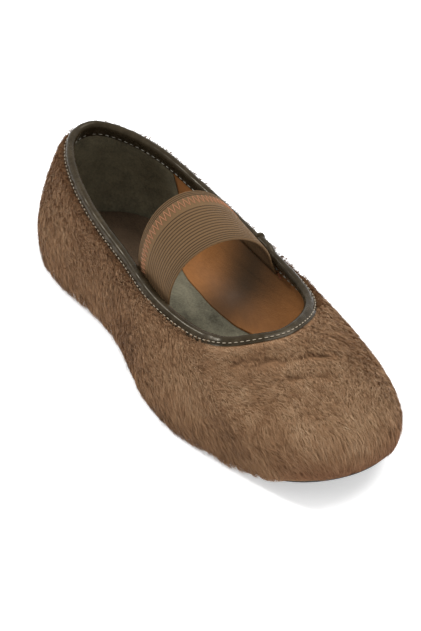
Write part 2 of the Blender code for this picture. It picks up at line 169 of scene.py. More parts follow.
# The lamps, in metres: both look at the middle of the shoe
LAMP_AIM = (0.0, 0.0, 0.03)
KEY_LAMP_PLACE = (0.10, 0.80, 1.50)
KEY_LAMP_SIZE = 1.2
SIDE_LAMP_PLACE = (-0.95, -0.90, 1.35)
SIDE_LAMP_SIZE = 0.26

# The zones of fur: the part of the half way round, from heel to toe, and the side of the shoe
FurZone = namedtuple("FurZone", "name start end outer inner")

FUR_ZONES = [
    FurZone("plush_heel", 0.000, 0.150, True, True),
    FurZone("plush_outer_side", 0.150, 0.345, True, False),
    FurZone("plush_inner_side", 0.150, 0.345, False, True),
    FurZone("plush_toe", 0.345, 0.501, True, True),
]

# Folds pressed into the fur in front of the throat: each runs across the shoe between two
# plan points, and the fur lies lower along it, with painted shade darkening it there.
Fold = namedtuple("Fold", "x_outer y_outer x_inner y_inner width depth")

FOLDS = [
    Fold(0.0625, -0.026, 0.0700, -0.012, 0.0020, 0.85),
    Fold(0.0700, -0.018, 0.0785, -0.003, 0.0020, 0.95),
    Fold(0.0775, -0.005, 0.0825, 0.017, 0.0019, 0.80),
    Fold(0.0850, -0.014, 0.0925, 0.008, 0.0016, 0.60),
]


def smooth_step(value):
    """Rises gently from 0 to 1 as value goes from 0 to 1."""
    held = np.clip(value, 0.0, 1.0)
    return held * held * (3.0 - 2.0 * held)


def unit(vectors):
    """Vectors made one long."""
    return vectors / np.maximum(np.linalg.norm(vectors, axis=-1, keepdims=True), 1e-12)


def cubic(points, share):
    """Points of the cubic arc with these four control points."""
    share = np.asarray(share)[..., None]
    left = 1.0 - share
    weights = (left**3, 3 * left**2 * share, 3 * left * share**2, share**3)
    return sum(weight * np.asarray(point) for weight, point in zip(weights, points))


def run_along(points):
    """How far each point of a line is from its first, along the line."""
    return np.concatenate([[0.0], np.cumsum(np.linalg.norm(np.diff(points, axis=0), axis=1))])


def points_at(wanted, gone, points):
    """Points, or other rows of numbers, at wanted distances along a line."""
    return np.stack([np.interp(wanted, gone, points[:, axis]) for axis in range(points.shape[1])], -1)


def closed_spline(knots, values):
    """Returns the closed cubic curve through values at knots, a function of the way round."""
    knots, values = np.asarray(knots), np.asarray(values)
    count = len(knots)
    span = np.diff(np.append(knots, knots[0] + 1.0))
    slope = (np.roll(values, -1) - values) / span
    matrix, right = np.zeros((count, count)), np.zeros(count)
    for row in range(count):
        matrix[row, row - 1] += span[row - 1]
        matrix[row, row] += 2.0 * (span[row - 1] + span[row])
        matrix[row, (row + 1) % count] += span[row]
        right[row] = 6.0 * (slope[row] - slope[row - 1])
    bend = np.linalg.solve(matrix, right)

    def at(way):
        way = np.asarray(way) % 1.0
        low = np.searchsorted(knots, way, side="right") - 1
        high = (low + 1) % count
        ahead = way - knots[low]
        width = span[low]
        left = width - ahead
        curve = (bend[low] * left**3 + bend[high] * ahead**3) / (6.0 * width)
        start = (values[low] / width - bend[low] * width / 6.0) * left
        end = (values[high] / width - bend[high] * width / 6.0) * ahead
        return curve + start + end

    return at


def sole_bottom(along):
    """Height of the outsole's underside over the floor, along being measured from the heel."""
    share = np.asarray(along) / SOLE_LENGTH
    heel = HEEL_LIFT * (1.0 - smooth_step((share - HEEL_FLAT_END) / (TREAD_START - HEEL_FLAT_END)))
    arch = np.clip((share - ARCH_START) / (TREAD_START - ARCH_START), 0.0, 1.0)
    toe = np.clip((share - TREAD_END) / (1.0 - TREAD_END), 0.0, None)
    return heel + ARCH_RISE * np.sin(math.pi * arch) ** 2 + TOE_SPRING * toe**SPRING_POWER


def sole_top(along):
    """Height of the outsole's upper face over the floor."""
    return sole_bottom(along) + OUTSOLE_THICKNESS


def hem_height(along):
    """Height of the fur's lower edge."""
    free = sole_bottom(along) - HEM_OVERHANG - HEM_CLEARANCE
    return HEM_CLEARANCE + 0.5 * (free + np.sqrt(free**2 + HEM_SOFTNESS**2))


class Form:
    """The shoe's form. Places round it are shares of the way round: 0 is the heel's back, 0.5
    the toe's tip, and the outer side comes first. Points come out in the frame of the solids."""

    def __init__(self, stations):
        back = stations[-2:0:-1]
        sides = [(row, -1.0) for row in stations] + [(row, 1.0) for row in back]
        self.knots = self.ways(stations)
        opening = THROAT_ALONG - COLLAR_BACK_ALONG
        self.foot_x = self.track(sides, lambda row, side: row.foot_along * SOLE_LENGTH)
        self.foot_y = self.track(
            sides, lambda row, side: BALL_WIDTH * (row.foot_inner if side > 0 else -row.foot_outer))
        self.collar_x = self.track(sides, lambda row, side: COLLAR_BACK_ALONG + row.collar_along * opening)
        self.collar_y = self.track(
            sides, lambda row, side: BALL_WIDTH * (row.collar_inner if side > 0 else -row.collar_outer))
        self.collar_z = self.track(sides, self.collar_height)
        self.leans = {name: self.track(sides, lambda row, side, name=name: getattr(row, name))
                      for name in ("top_lean", "top_pull", "low_lean", "low_pull")}
        ways = np.arange(FORM_WAYS + 1) / FORM_WAYS
        edge = self.foot(ways)
        low = np.array(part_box("outsole")[0])
        self.shift = np.array([low[0] - edge[:, 0].min(), low[1] - edge[:, 1].min(), 0.0])
        self.keep_walls(ways)

    @staticmethod
    def ways(stations):
        steps = []
        for one, two in zip(stations, stations[1:]):
            run = (two.foot_along - one.foot_along) * SOLE_LENGTH
            outer = math.hypot(run, (two.foot_outer - one.foot_outer) * BALL_WIDTH)
            inner = math.hypot(run, (two.foot_inner - one.foot_inner) * BALL_WIDTH)
            steps.append(((outer + inner) / 2.0) ** STATION_SPACING)
        out = np.concatenate([[0.0], np.cumsum(steps)]) / (2.0 * sum(steps))
        return np.concatenate([out, 1.0 - out[-2:0:-1]])

    def track(self, sides, rule):
        return closed_spline(self.knots, [rule(row, side) for row, side in sides])

    @staticmethod
    def collar_height(row, side):
        to_back = row.to_back * (COLLAR_BACK_HEIGHT - COLLAR_LOW_HEIGHT)
        return COLLAR_LOW_HEIGHT + to_back + row.to_throat * (THROAT_HEIGHT - COLLAR_LOW_HEIGHT)

    def foot(self, way):
        return np.stack([self.foot_x(way), self.foot_y(way)], -1)

    def collar(self, way):
        return np.stack([self.collar_x(way), self.collar_y(way), self.collar_z(way)], -1)

    @staticmethod
    def outward(curve, way):
        """The level direction out of the shoe, square to a closed curve seen from above."""
        step = (curve(way + WAY_STEP) - curve(way - WAY_STEP))[..., :2]
        return unit(np.stack([step[..., 1], -step[..., 0]], -1))

    def skin(self, way, down):
        """Points of the wall's middle surface, down being 0 at the collar and 1 at the sole."""
        foot, collar = self.foot(way), self.collar(way)
        foot = np.concatenate([foot, sole_top(foot[:, :1])], -1)
        from_foot, from_collar = self.outward(self.foot, way), self.outward(self.collar, way)
        reach = np.linalg.norm(foot - collar, axis=-1)
        top = np.radians(self.leans["top_lean"](way))
        low = np.radians(self.leans["low_lean"](way))
        above = np.concatenate([from_collar * np.cos(top)[:, None], -np.sin(top)[:, None]], -1)
        below = np.concatenate([from_foot * np.sin(low)[:, None], np.cos(low)[:, None]], -1)
        high = collar + above * (reach * self.leans["top_pull"](way))[:, None]
        deep = foot + below * (reach * self.leans["low_pull"](way))[:, None]
        return cubic((collar[:, None], high[:, None], deep[:, None], foot[:, None]), down[None])

    def keep_walls(self, ways):
        """Keeps the wall's points and outward directions at even steps down from the collar."""
        down = np.linspace(0.0, 1.0, FORM_STEPS + 1)
        points = self.skin(ways, down)
        along = self.skin(ways + WAY_STEP, down) - self.skin(ways - WAY_STEP, down)
        out = unit(np.cross(np.gradient(points, axis=1), along))
        steps = np.linalg.norm(np.diff(points, axis=1), axis=2)
        gone = np.concatenate([np.zeros((len(ways), 1)), np.cumsum(steps, axis=1)], 1)
        self.reach = gone[:, -1]
        self.points, self.facing = np.empty_like(points), np.empty_like(points)
        for row in range(len(ways)):
            wanted = down * gone[row, -1]
            for axis in range(3):
                self.points[row, :, axis] = np.interp(wanted, gone[row], points[row, :, axis])
                self.facing[row, :, axis] = np.interp(wanted, gone[row], out[row, :, axis])
        self.points += self.shift
        self.facing = unit(self.facing)

    def corners(self, way, share):
        """The four kept places round a point of the wall, and the weight of each."""
        way = (np.asarray(way, float) % 1.0) * FORM_WAYS
        share = np.clip(share, 0.0, 1.0) * FORM_STEPS
        one = np.minimum(way.astype(int), FORM_WAYS - 1)
        two = np.minimum(share.astype(int), FORM_STEPS - 1)
        right, below = way - one, share - two
        return [(one, two, (1 - right) * (1 - below)), (one + 1, two, right * (1 - below)),
                (one, two + 1, (1 - right) * below), (one + 1, two + 1, right * below)]

    def wall(self, way, share, offset=0.0):
        """Points at a share of the way down the wall, offset outwards, with their directions."""
        way, share = np.broadcast_arrays(np.asarray(way, float), np.asarray(share, float))
        places = self.corners(way, share)
        point = sum(self.points[one, two] * weight[..., None] for one, two, weight in places)
        facing = unit(sum(self.facing[one, two] * weight[..., None] for one, two, weight in places))
        return point + facing * np.asarray(offset, float)[..., None], facing

    def length(self, way):
        """How long the wall is from the collar to the sole."""
        return np.interp((np.asarray(way) % 1.0) * FORM_WAYS, np.arange(FORM_WAYS + 1), self.reach)

    def below_collar(self, way, distance, offset=0.0):
        """Points at a distance down from the collar's edge."""
        way, distance = np.broadcast_arrays(np.asarray(way, float), np.asarray(distance, float))
        return self.wall(way, distance / self.length(way), offset)

    def tangents(self, way, share):
        """How a point of the wall moves with the way round and with the share down."""
        small_way, small_share = 1.0 / FORM_WAYS, 1.0 / FORM_STEPS
        share = np.clip(share, small_share, 1.0 - small_share)
        round_it = self.wall(way + small_way, share)[0] - self.wall(way - small_way, share)[0]
        down_it = self.wall(way, share + small_share)[0] - self.wall(way, share - small_share)[0]
        return round_it / (2.0 * small_way), down_it / (2.0 * small_share)

    def way_at(self, along, inner):
        """The place round the shoe where the collar passes a distance along it."""
        ways = np.linspace(0.5, 1.0 if inner else 0.0, 400)
        return float(np.interp(-along, -self.collar_x(ways), ways))

    def edge_side(self, inset):
        """The sole's outline moved in by inset, as outer and inner plan points from heel to toe."""
        ways = np.linspace(0.0, 0.5, 181)
        sides = [self.foot(way) - self.outward(self.foot, way) * inset + self.shift[:2]
                 for way in (ways, -ways)]
        sides[1][0], sides[1][-1] = sides[0][0], sides[0][-1]
        return sides


form = Form(STATIONS)


def along_sole(x):
    """Distance from the heel's back for a place of the frame."""
    return np.asarray(x) - form.shift[0]


def ripple(points, size, seed):
    """A smooth random field over points, from about -1 to 1, with waves of about size."""
    draw = np.random.default_rng(seed)
    total = np.zeros(points.shape[:-1])
    for _ in range(9):
        wave = unit(draw.normal(size=3)) * (2 * math.pi / size) * draw.uniform(0.6, 1.5)
        total += np.sin(points @ wave + draw.uniform(0, 2 * math.pi))
    return total / 3.4


def fold_depth(points):
    """How deep the folds press the fur at points, from 0 to 1."""
    deepest = np.zeros(points.shape[:-1])
    wander = 0.0012 * ripple(points, 0.014, 71)
    for fold in FOLDS:
        start = np.array([fold.x_outer, fold.y_outer])
        line = np.array([fold.x_inner, fold.y_inner]) - start
        rest = points[..., :2] - start
        part = rest @ line / (line @ line)
        aside = np.abs(rest[..., 0] * line[1] - rest[..., 1] * line[0]) / np.linalg.norm(line)
        aside = np.abs(aside + wander)
        ends = smooth_step(part / 0.25) * smooth_step((1.0 - part) / 0.25)
        across = np.exp(-((aside / fold.width) ** 2))
        deepest = np.maximum(deepest, fold.depth * ends * across * (points[..., 2] > 0.02))
    return deepest


class Value:
    """A value in a material's nodes, with arithmetic that adds its Math nodes."""

    def __init__(self, finish, link):
        self.finish, self.link = finish, link

    def maths(self, operation, one, two):
        return self.finish.node("ShaderNodeMath", {"operation": operation}, {0: one, 1: two})

    def __add__(self, other):
        return self.maths("ADD", self, other)

    def __radd__(self, other):
        return self.maths("ADD", other, self)

    def __sub__(self, other):
        return self.maths("SUBTRACT", self, other)

    def __rsub__(self, other):
        return self.maths("SUBTRACT", other, self)

    def __mul__(self, other):
        return self.maths("MULTIPLY", self, other)

    def __rmul__(self, other):
        return self.maths("MULTIPLY", other, self)

    def __truediv__(self, other):
        return self.maths("DIVIDE", self, other)

    def __rtruediv__(self, other):
        return self.maths("DIVIDE", other, self)


class Finish:
    """One material, and short ways to add the nodes that its looks are made of."""

    def __init__(self, name, **plain):
        self.material = bpy.data.materials.new(name)
        self.material.use_nodes = True
        self.tree = self.material.node_tree
        self.shader = self.tree.nodes["Principled BSDF"]
        for socket, value in plain.items():
            self.shader.inputs[socket.replace("_", " ")].default_value = value

    def node(self, kind, settings=None, inputs=None, output=0):
        """Adds a node: its settings first, then the values or links of its sockets."""
        made = self.tree.nodes.new(kind)
        for name, value in (settings or {}).items():
            if name == "stops":
                ramp = made.color_ramp
                while len(ramp.elements) < len(value):
                    ramp.elements.new(1.0)
                for element, (place, colour) in zip(ramp.elements, value):
                    element.position = place
                    element.color = (*colour, 1.0)
            else:
                setattr(made, name, value)
        for name, value in (inputs or {}).items():
            if isinstance(value, Value):
                self.tree.links.new(value.link, made.inputs[name])
            else:
                made.inputs[name].default_value = value
        return Value(self, made.outputs[output])

    def feed(self, socket, value):
        self.tree.links.new(value.link, self.shader.inputs[socket])

    def place(self, scale=(1.0, 1.0, 1.0), turn=0.0):
        """The object's own coordinates, stretched and turned about Z."""
        start = self.node("ShaderNodeTexCoord", output="Object")
        return self.node("ShaderNodeMapping", inputs={"Vector": start, "Scale": scale,
                                                      "Rotation": (0.0, 0.0, turn)})

    def on_surface(self, map_name, scale=(1.0, 1.0, 1.0)):
        """The piece's own map, stretched."""
        start = self.node("ShaderNodeUVMap", {"uv_map": map_name})
        return self.node("ShaderNodeMapping", inputs={"Vector": start, "Scale": scale})

    def part(self, vector, axis):
        return self.node("ShaderNodeSeparateXYZ", inputs={0: vector}, output=axis)

    def noise(self, vector, size, detail=3.0, rough=0.55):
        """Noise from 0 to 1 with lumps of about size."""
        return self.node("ShaderNodeTexNoise", inputs={
            "Vector": vector, "Scale": 1.0 / size, "Detail": detail, "Roughness": rough})

    def cells(self, vector, size):
        """Distance to the nearest of scattered points, about size apart."""
        return self.node("ShaderNodeTexVoronoi", inputs={"Vector": vector, "Scale": 1.0 / size})

    def between(self, value, low, high, to_low=0.0, to_high=1.0):
        """A value's range from low to high, held and moved onto another."""
        return self.node("ShaderNodeMapRange", {"clamp": True}, {
            "Value": value, "From Min": low, "From Max": high, "To Min": to_low, "To Max": to_high})

    def mix(self, factor, one, two, blend="MIX"):
        """A colour between two."""
        colours = [value if isinstance(value, Value) else (*value, 1.0) for value in (one, two)]
        return self.node("ShaderNodeMix", {"data_type": "RGBA", "blend_type": blend},
                         {0: factor, 6: colours[0], 7: colours[1]}, output=2)

    def shade(self, colour, value):
        """A colour made lighter or darker by a value."""
        return self.node("ShaderNodeVectorMath", {"operation": "SCALE"}, {0: colour, "Scale": value})

    def ramp(self, value, stops):
        """A colour for each value: stops are places with their colours."""
        return self.node("ShaderNodeValToRGB", {"stops": stops}, {0: value})

    def bump(self, height, distance, strength=1.0):
        """Feeds a height, in parts of distance metres, to the surface's direction."""
        self.feed("Normal", self.node("ShaderNodeBump", inputs={
            "Height": height, "Distance": distance, "Strength": strength}))


def tinted(colour, scale, lift=0.0):
    """A colour's darker or lighter neighbour, held at 1."""
    return tuple(min(1.0, part * scale + lift) for part in colour)


def plush_skin_finish():
    """The woven ground of the plush, mottled between two browns."""
    settings = bpy.context.scene.plush_settings
    finish = Finish("plush_skin", Roughness=0.9, Specular_IOR_Level=0.15)
    mottle = finish.noise(finish.place(), 0.012, 4.0)
    streak = finish.noise(finish.place((0.35, 1.0, 1.0)), 0.0012, 5.0)
    colour = finish.mix(mottle * 0.4 + streak * 0.6, settings.dark_colour, settings.mid_colour)
    finish.feed("Base Color", finish.shade(colour, 0.95))
    finish.bump(streak, 0.0006)
    return finish.material


def strand_finish():
    """The fur's strands: the map's first number is the strand's tone, the second the way up it."""
    settings = bpy.context.scene.plush_settings
    finish = Finish("plush_strands", Roughness=0.75, Specular_IOR_Level=0.12)
    spot = finish.node("ShaderNodeUVMap", {"uv_map": STRAND_MAP})
    tone, way_up = finish.part(spot, 0), finish.part(spot, 1)
    grain = finish.noise(finish.on_surface(STRAND_MAP, (60.0, 6.0, 1.0)), 1.0, 2.0)
    colour = finish.ramp(tone, [
        (0.0, tuple(settings.dark_colour)), (0.45, tuple(settings.mid_colour)),
        (0.8, tuple(settings.light_colour)), (1.0, tuple(settings.tip_colour))])
    # A darker, redder band low at the toe's front: partly a redder tone of the fur, partly painted shade
    # where the toe faces away from the light.
    place = finish.node("ShaderNodeTexCoord", output="Object")
    front = finish.between(finish.part(place, 0), 0.106, 0.121)
    front = front * finish.between(finish.part(place, 2), 0.034, 0.018)
    colour = finish.mix(front * 0.75, colour, finish.mix(1.0, colour, (0.70, 0.58, 0.56), "MULTIPLY"))
    lift = finish.between(way_up, 0.0, 1.0, settings.root_shade, 1.08)
    finish.feed("Base Color", finish.shade(colour, lift * (0.94 + grain * 0.12)))
    finish.feed("Roughness", finish.between(way_up, 0.0, 1.0, 0.85, 0.62))
    return finish.material


def leather_finish():
    """The binding's dark leather: creased along the collar and rubbed lighter in places."""
    settings = bpy.context.scene.trim_settings
    finish = Finish("binding_leather", Roughness=0.3, Specular_IOR_Level=0.16,
                    Specular_Tint=(1.0, 0.90, 0.72, 1.0))
    spot = finish.place()
    cloud = finish.noise(spot, 0.006, 4.0)
    grain = finish.cells(spot, 0.0009)
    crease = finish.noise(finish.on_surface("Band", (150.0, 3.0, 1.0)), 1.0, 3.0)
    dark = tuple(settings.leather_colour)
    light = tinted(dark, 2.3, 0.006)
    rubbed = finish.between(cloud, 0.35, 0.75)
    finish.feed("Base Color", finish.mix(rubbed * 0.7, dark, light))
    finish.feed("Roughness", finish.between(cloud + grain * 0.3, 0.3, 0.9, 0.19, 0.31))
    finish.bump(crease * 0.85 + grain * 0.15, 0.00018, 0.22)
    return finish.material


def thread_finish(name, colour):
    """Twisted thread, duller where it is worn."""
    finish = Finish(name, Roughness=0.6)
    spot = finish.place()
    twist = finish.noise(spot, 0.0004, 3.0)
    worn = finish.noise(spot, 0.02, 2.0)
    dark = tinted(colour, 0.55)
    finish.feed("Base Color", finish.mix(twist * 0.6 + worn * 0.4, dark, tuple(colour)))
    finish.feed("Roughness", finish.between(twist, 0.2, 0.8, 0.45, 0.75))
    finish.bump(twist, 0.0002)
    return finish.material


def elastic_finish():
    """The strap's woven elastic, with painted shade darkening the grooves between its ribs."""
    settings = bpy.context.scene.trim_settings
    finish = Finish("strap_elastic", Roughness=0.8, Specular_IOR_Level=0.25)
    weave = finish.on_surface("Weave")
    along, across = finish.part(weave, 0), finish.part(weave, 1)
    pick = finish.node("ShaderNodeMath", {"operation": "SINE"}, {0: along * (2 * math.pi / 0.0007)})
    end = finish.node("ShaderNodeMath", {"operation": "SINE"}, {0: across * (2 * math.pi / 0.0006)})
    woven = (pick * end) * 0.5 + 0.5
    fuzz = finish.noise(finish.place(), 0.0011, 4.0)
    cloud = finish.noise(finish.place(), 0.014, 3.0)
    rib = finish.node("ShaderNodeAttribute", {"attribute_name": "Rib"}, output="Fac")
    colour = tuple(settings.strap_colour)
    dark = tinted(colour, 0.26)
    light = tinted(colour, 1.5)
    mixed = finish.mix(woven * 0.35 + fuzz * 0.4 + cloud * 0.25, colour, light)
    # Painted shade: the grooves between the ribs are made darker.
    finish.feed("Base Color", finish.mix(finish.between(rib, 0.1, 0.9), dark, mixed))
    finish.feed("Roughness", finish.between(fuzz, 0.2, 0.8, 0.66, 0.9))
    finish.bump(woven * 0.6 + fuzz * 0.4, 0.0003, 0.9)
    return finish.material


def lining_leather_finish():
    """The tan lining, darker towards the sole, with the strap's shadow painted on it in front of the strap.
    """
    settings = bpy.context.scene.lining_settings
    finish = Finish("quarter_leather", Roughness=0.6, Specular_IOR_Level=0.18)
    spot = finish.place()
    cloud = finish.noise(spot, 0.022, 4.0)
    grain = finish.cells(spot, 0.0007)
    fibre = finish.noise(finish.place((0.4, 1.0, 1.0)), 0.0016, 5.0)
    place = finish.node("ShaderNodeTexCoord", output="Object")
    height, along = finish.part(place, 2), finish.part(place, 0)
    colour = tuple(settings.quarter_colour)
    dark = tinted(colour, 0.45)
    mixed = finish.mix(finish.between(cloud * 0.6 + fibre * 0.4, 0.3, 0.7), dark, tinted(colour, 1.35))
    mixed = finish.mix(0.55, mixed, colour)
    # The lining is made darker towards the sole.
    low_darkening = finish.between(height + (cloud - 0.5) * 0.012, 0.006, 0.014, 0.25, 0.0)
    # Painted shadow of the strap: a soft dark patch on the lining in front of it, mixed in last.
    reach = finish.between(height, 0.016, 0.040, 0.019, 0.030)
    beside = (along + (cloud - 0.5) * 0.010 + 0.012) / reach
    strap_shadow = finish.node("ShaderNodeMath", {"operation": "EXPONENT"}, {0: beside * beside * -1.0})
    strap_shadow = strap_shadow * finish.between(height, -0.004, 0.020, 0.35, 0.95)
    mixed = finish.mix(low_darkening, mixed, dark)
    finish.feed("Base Color", finish.mix(strap_shadow, mixed, tuple(settings.strap_shadow_colour)))
    finish.feed("Roughness", finish.between(cloud, 0.3, 0.7, 0.5, 0.72))
    finish.bump(grain * 0.4 + fibre * 0.6, 0.0003, 0.7)
    return finish.material


def suede_finish(name, colour, size=0.0012):
    """A napped surface: fine fibres, softer clouds where the nap lies another way, and wear."""
    finish = Finish(name, Roughness=0.9, Specular_IOR_Level=0.15)
    spot = finish.place()
    nap = finish.noise(spot, size, 6.0, 0.7)
    cloud = finish.noise(finish.place((0.5, 1.0, 1.0), 0.5), 0.010, 5.0, 0.6)
    worn = finish.noise(spot, 0.035, 2.0)
    dark = tinted(colour, 0.5)
    light = tinted(colour, 1.55, 0.004)
    mixed = finish.mix(finish.between(nap * 0.45 + cloud * 0.55, 0.36, 0.64), dark, light)
    finish.feed("Base Color", finish.mix(finish.between(worn, 0.4, 0.65, 0.0, 0.5), mixed, tuple(colour)))
    finish.feed("Roughness", finish.between(cloud, 0.3, 0.7, 0.8, 0.97))
    finish.bump(nap * 0.7 + cloud * 0.3, 0.0005, 0.8)
    return finish.material


def rubber_finish():
    """The sole's rubber, with pale scuffs along it."""
    settings = bpy.context.scene.sole_settings
    finish = Finish("sole_rubber", Roughness=0.7, Specular_IOR_Level=0.35)
    spot = finish.place()
    grain = finish.noise(spot, 0.0008, 4.0)
    scuff = finish.noise(finish.place((0.3, 1.0, 1.0), 0.3), 0.006, 5.0, 0.65)
    colour = tuple(settings.rubber_colour)
    light = tinted(colour, 2.6, 0.01)
    finish.feed("Base Color", finish.mix(finish.between(scuff, 0.52, 0.75, 0.0, 0.7), colour, light))
    finish.feed("Roughness", finish.between(scuff, 0.3, 0.7, 0.58, 0.85))
    finish.bump(grain * 0.6 + scuff * 0.4, 0.0003, 0.6)
    return finish.material


def floor_finish():
    """Pale paper that glows a little, which lightens the shadow on it."""
    settings = bpy.context.scene.stage_settings
    finish = Finish("floor_paper", Roughness=0.8, Specular_IOR_Level=0.0)
    finish.shader.inputs["Base Color"].default_value = (*settings.floor_colour, 1.0)
    finish.shader.inputs["Emission Color"].default_value = (1.0, 1.0, 1.0, 1.0)
    finish.shader.inputs["Emission Strength"].default_value = settings.floor_glow
    return finish.material


def add_piece(name, mesh, material, stands_for=()):
    """Links a finished mesh as a piece that rides with the shoe."""
    piece = bpy.data.objects.new(name, mesh)
    bpy.context.scene.collection.objects.link(piece)
    mesh.materials.append(material)
    mesh.shade_smooth()
    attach(piece, "root")
    if stands_for:
        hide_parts(*stands_for)
    return piece


def to_mesh(name, bm, sharp=None):
    """Turns a bmesh into a mesh with its faces outwards."""
    bmesh.ops.recalc_face_normals(bm, faces=bm.faces)
    mesh = bpy.data.meshes.new(name)
    bm.to_mesh(mesh)
    bm.free()
    mesh.shade_smooth()
    if sharp:
        mesh.set_sharp_from_angle(angle=math.radians(sharp))
    return mesh


def bend_grid(sections, joined_along=True, joined_across=True, map_name="Band", **kept):
    """Bends a flat grid onto sections, each a row of points, and joins its sides where told.

    kept are further numbers for the points, each under its own name.
    """
    count, points = sections.shape[:2]
    columns = count if joined_along else count - 1
    rows = points if joined_across else points - 1
    bm = bmesh.new()
    bm.loops.layers.uv.new(map_name)
    bmesh.ops.create_grid(bm, x_segments=columns, y_segments=rows, size=0.5, calc_uvs=True)
    layers = [(bm.verts.layers.float.new(name), numbers) for name, numbers in kept.items()]
    for vertex in bm.verts:
        column = round((vertex.co.x + 0.5) * columns) % count
        row = round((vertex.co.y + 0.5) * rows) % points
        vertex.co = sections[column, row]
        for layer, numbers in layers:
            vertex[layer] = numbers[column, row]
    bmesh.ops.remove_doubles(bm, verts=bm.verts, dist=MERGE)
    if not joined_along and joined_across:
        ends = [edge for edge in bm.edges if edge.is_boundary]
        bmesh.ops.holes_fill(bm, edges=ends, sides=0)
    return bm


def pile_rise(distance):
    """How much of its depth the fur has at a distance down from the collar: it puffs out there."""
    return np.sin(np.clip((distance - BINDING_OUTSIDE) / PUFF_RUN, 0.0, 1.0) * math.pi / 2.0)


def hem_at(points):
    """Height of the fur's ragged lower edge: it waves, and shows a little of the sole at the toe."""
    level = np.concatenate([points[:, :2], np.zeros((len(points), 1))], 1)
    lifted = 0.0030 * smooth_step((points[:, 0] - 0.085) / 0.030)
    wave = 0.0009 * ripple(level, 0.021, 51) + 0.0005 * ripple(level, 0.008, 52)
    return np.maximum(hem_height(along_sole(points[:, 0])) + lifted + wave, 0.0006)


def make_skin():
    """The woven back of the plush, with the fur's dense ground, folded under at the sole."""
    settings = bpy.context.scene.plush_settings
    ways = np.arange(BAND_SECTIONS) / BAND_SECTIONS
    reach = form.length(ways)
    foot, out = form.foot(ways) + form.shift[:2], form.outward(form.foot, ways)
    along = along_sole(foot[:, 0])
    top = BINDING_LEATHER + GAP
    rows = []
    for share in 1.0 - np.linspace(1.0, 0.0, 30) ** 1.4:
        distance = top + share * (reach - top)
        bare = 1.0 - 0.6 * smooth_step((share - 0.8) / 0.2)
        points, _ = form.below_collar(ways, distance)
        pressed = 1.0 - 0.7 * fold_depth(points)
        depth = BACKING + settings.ground_depth * pile_rise(distance) * bare * pressed
        rows.append(form.below_collar(ways, distance, depth)[0])
    low, base = hem_at(foot) + 0.0008, sole_top(along) + GAP
    for offset, height in ((BACKING + 0.0006, low), (GAP, low), (GAP, base)):
        rows.append(np.column_stack([foot + out * offset, height]))
    for share in np.linspace(1.0, 0.0, 12)[1:]:
        rows.append(form.below_collar(ways, top + share * (reach - top), 0.0002)[0])
    bm = bend_grid(np.stack(rows, 1))
    add_piece("plush_skin", to_mesh("plush_skin", bm), plush_skin_finish(), ("upper",))


def strand_shape():
    """One strand lying along +X: a narrow strip of two parts that ends in a point."""
    bm = bmesh.new()
    bmesh.ops.create_grid(bm, x_segments=2, y_segments=1, size=0.5)
    tip = [vertex for vertex in bm.verts if vertex.co.x > 0.4]
    bmesh.ops.pointmerge(bm, verts=tip, merge_co=(0.5, 0.0, 0.0))
    bmesh.ops.triangulate(bm, faces=bm.faces)
    bm.verts.index_update()
    places = np.array([(vertex.co.x + 0.5, vertex.co.y * 2.0) for vertex in bm.verts])
    faces = np.array([[vertex.index for vertex in face.verts] for face in bm.faces])
    bm.free()
    return places, faces


def zone_patches(zone):
    """Small patches of the whole wall: their places, their areas and whether a zone has them."""
    ways = (np.arange(FORM_WAYS) + 0.5) / FORM_WAYS
    shares = (np.arange(FORM_STEPS) + 0.5) / FORM_STEPS
    way, share = (grid.ravel() for grid in np.meshgrid(ways, shares, indexing="ij"))
    one, two = form.tangents(way, share)
    area = np.linalg.norm(np.cross(one, two), axis=1)
    outer_side = way < 0.5
    half = np.where(outer_side, way, 1.0 - way)
    inside = (half >= zone.start) & (half < zone.end) & np.where(outer_side, zone.outer, zone.inner)
    return way, share, area, inside


def choose_roots(patches, count, draw):
    """Random places on the wall inside a zone, spread evenly over its area."""
    way, share, area, inside = patches
    covered = share * form.length(way) > FUR_START
    chance = area * inside * covered
    picked = draw.choice(len(way), size=count, p=chance / chance.sum())
    way = way[picked] + draw.uniform(-0.5, 0.5, count) / FORM_WAYS
    share = share[picked] + draw.uniform(-0.5, 0.5, count) / FORM_STEPS
    return way, np.clip(share, 0.0, 1.0)


def moved(way, share, direction, distance):
    """Places reached by going a distance over the wall, and how far they pass its lower edge."""
    one, two = form.tangents(way, share)
    level = (one * one).sum(-1), (one * two).sum(-1), (two * two).sum(-1)
    right = (one * direction).sum(-1), (two * direction).sum(-1)
    whole = level[0] * level[2] - level[1] ** 2
    step_way = (level[2] * right[0] - level[1] * right[1]) / whole
    step_share = (level[0] * right[1] - level[1] * right[0]) / whole
    new_share = share + step_share * distance
    past = np.maximum(new_share - 1.0, 0.0) * form.length(way)
    return way + step_way * distance, np.clip(new_share, 0.0, 1.0), past


def flow(way, share, facing, place, settings):
    """Which way the fur lies: towards the toe and down, with soft swirls."""
    _, down = form.tangents(way, share)
    down = unit(down)
    ahead = np.array([1.0, 0.0, 0.0]) - facing * facing[:, :1]
    lying = ahead * settings.toeward + down * (settings.downward + 0.55 * share[:, None] ** 2)
    lying = unit(lying - facing * (lying * facing).sum(-1, keepdims=True))
    aside = np.cross(facing, lying)
    turn = np.radians(14.0 * ripple(place, 0.035, 11) + 9.0 * ripple(place, 0.012, 12))[:, None]
    return lying * np.cos(turn) + aside * np.sin(turn), aside


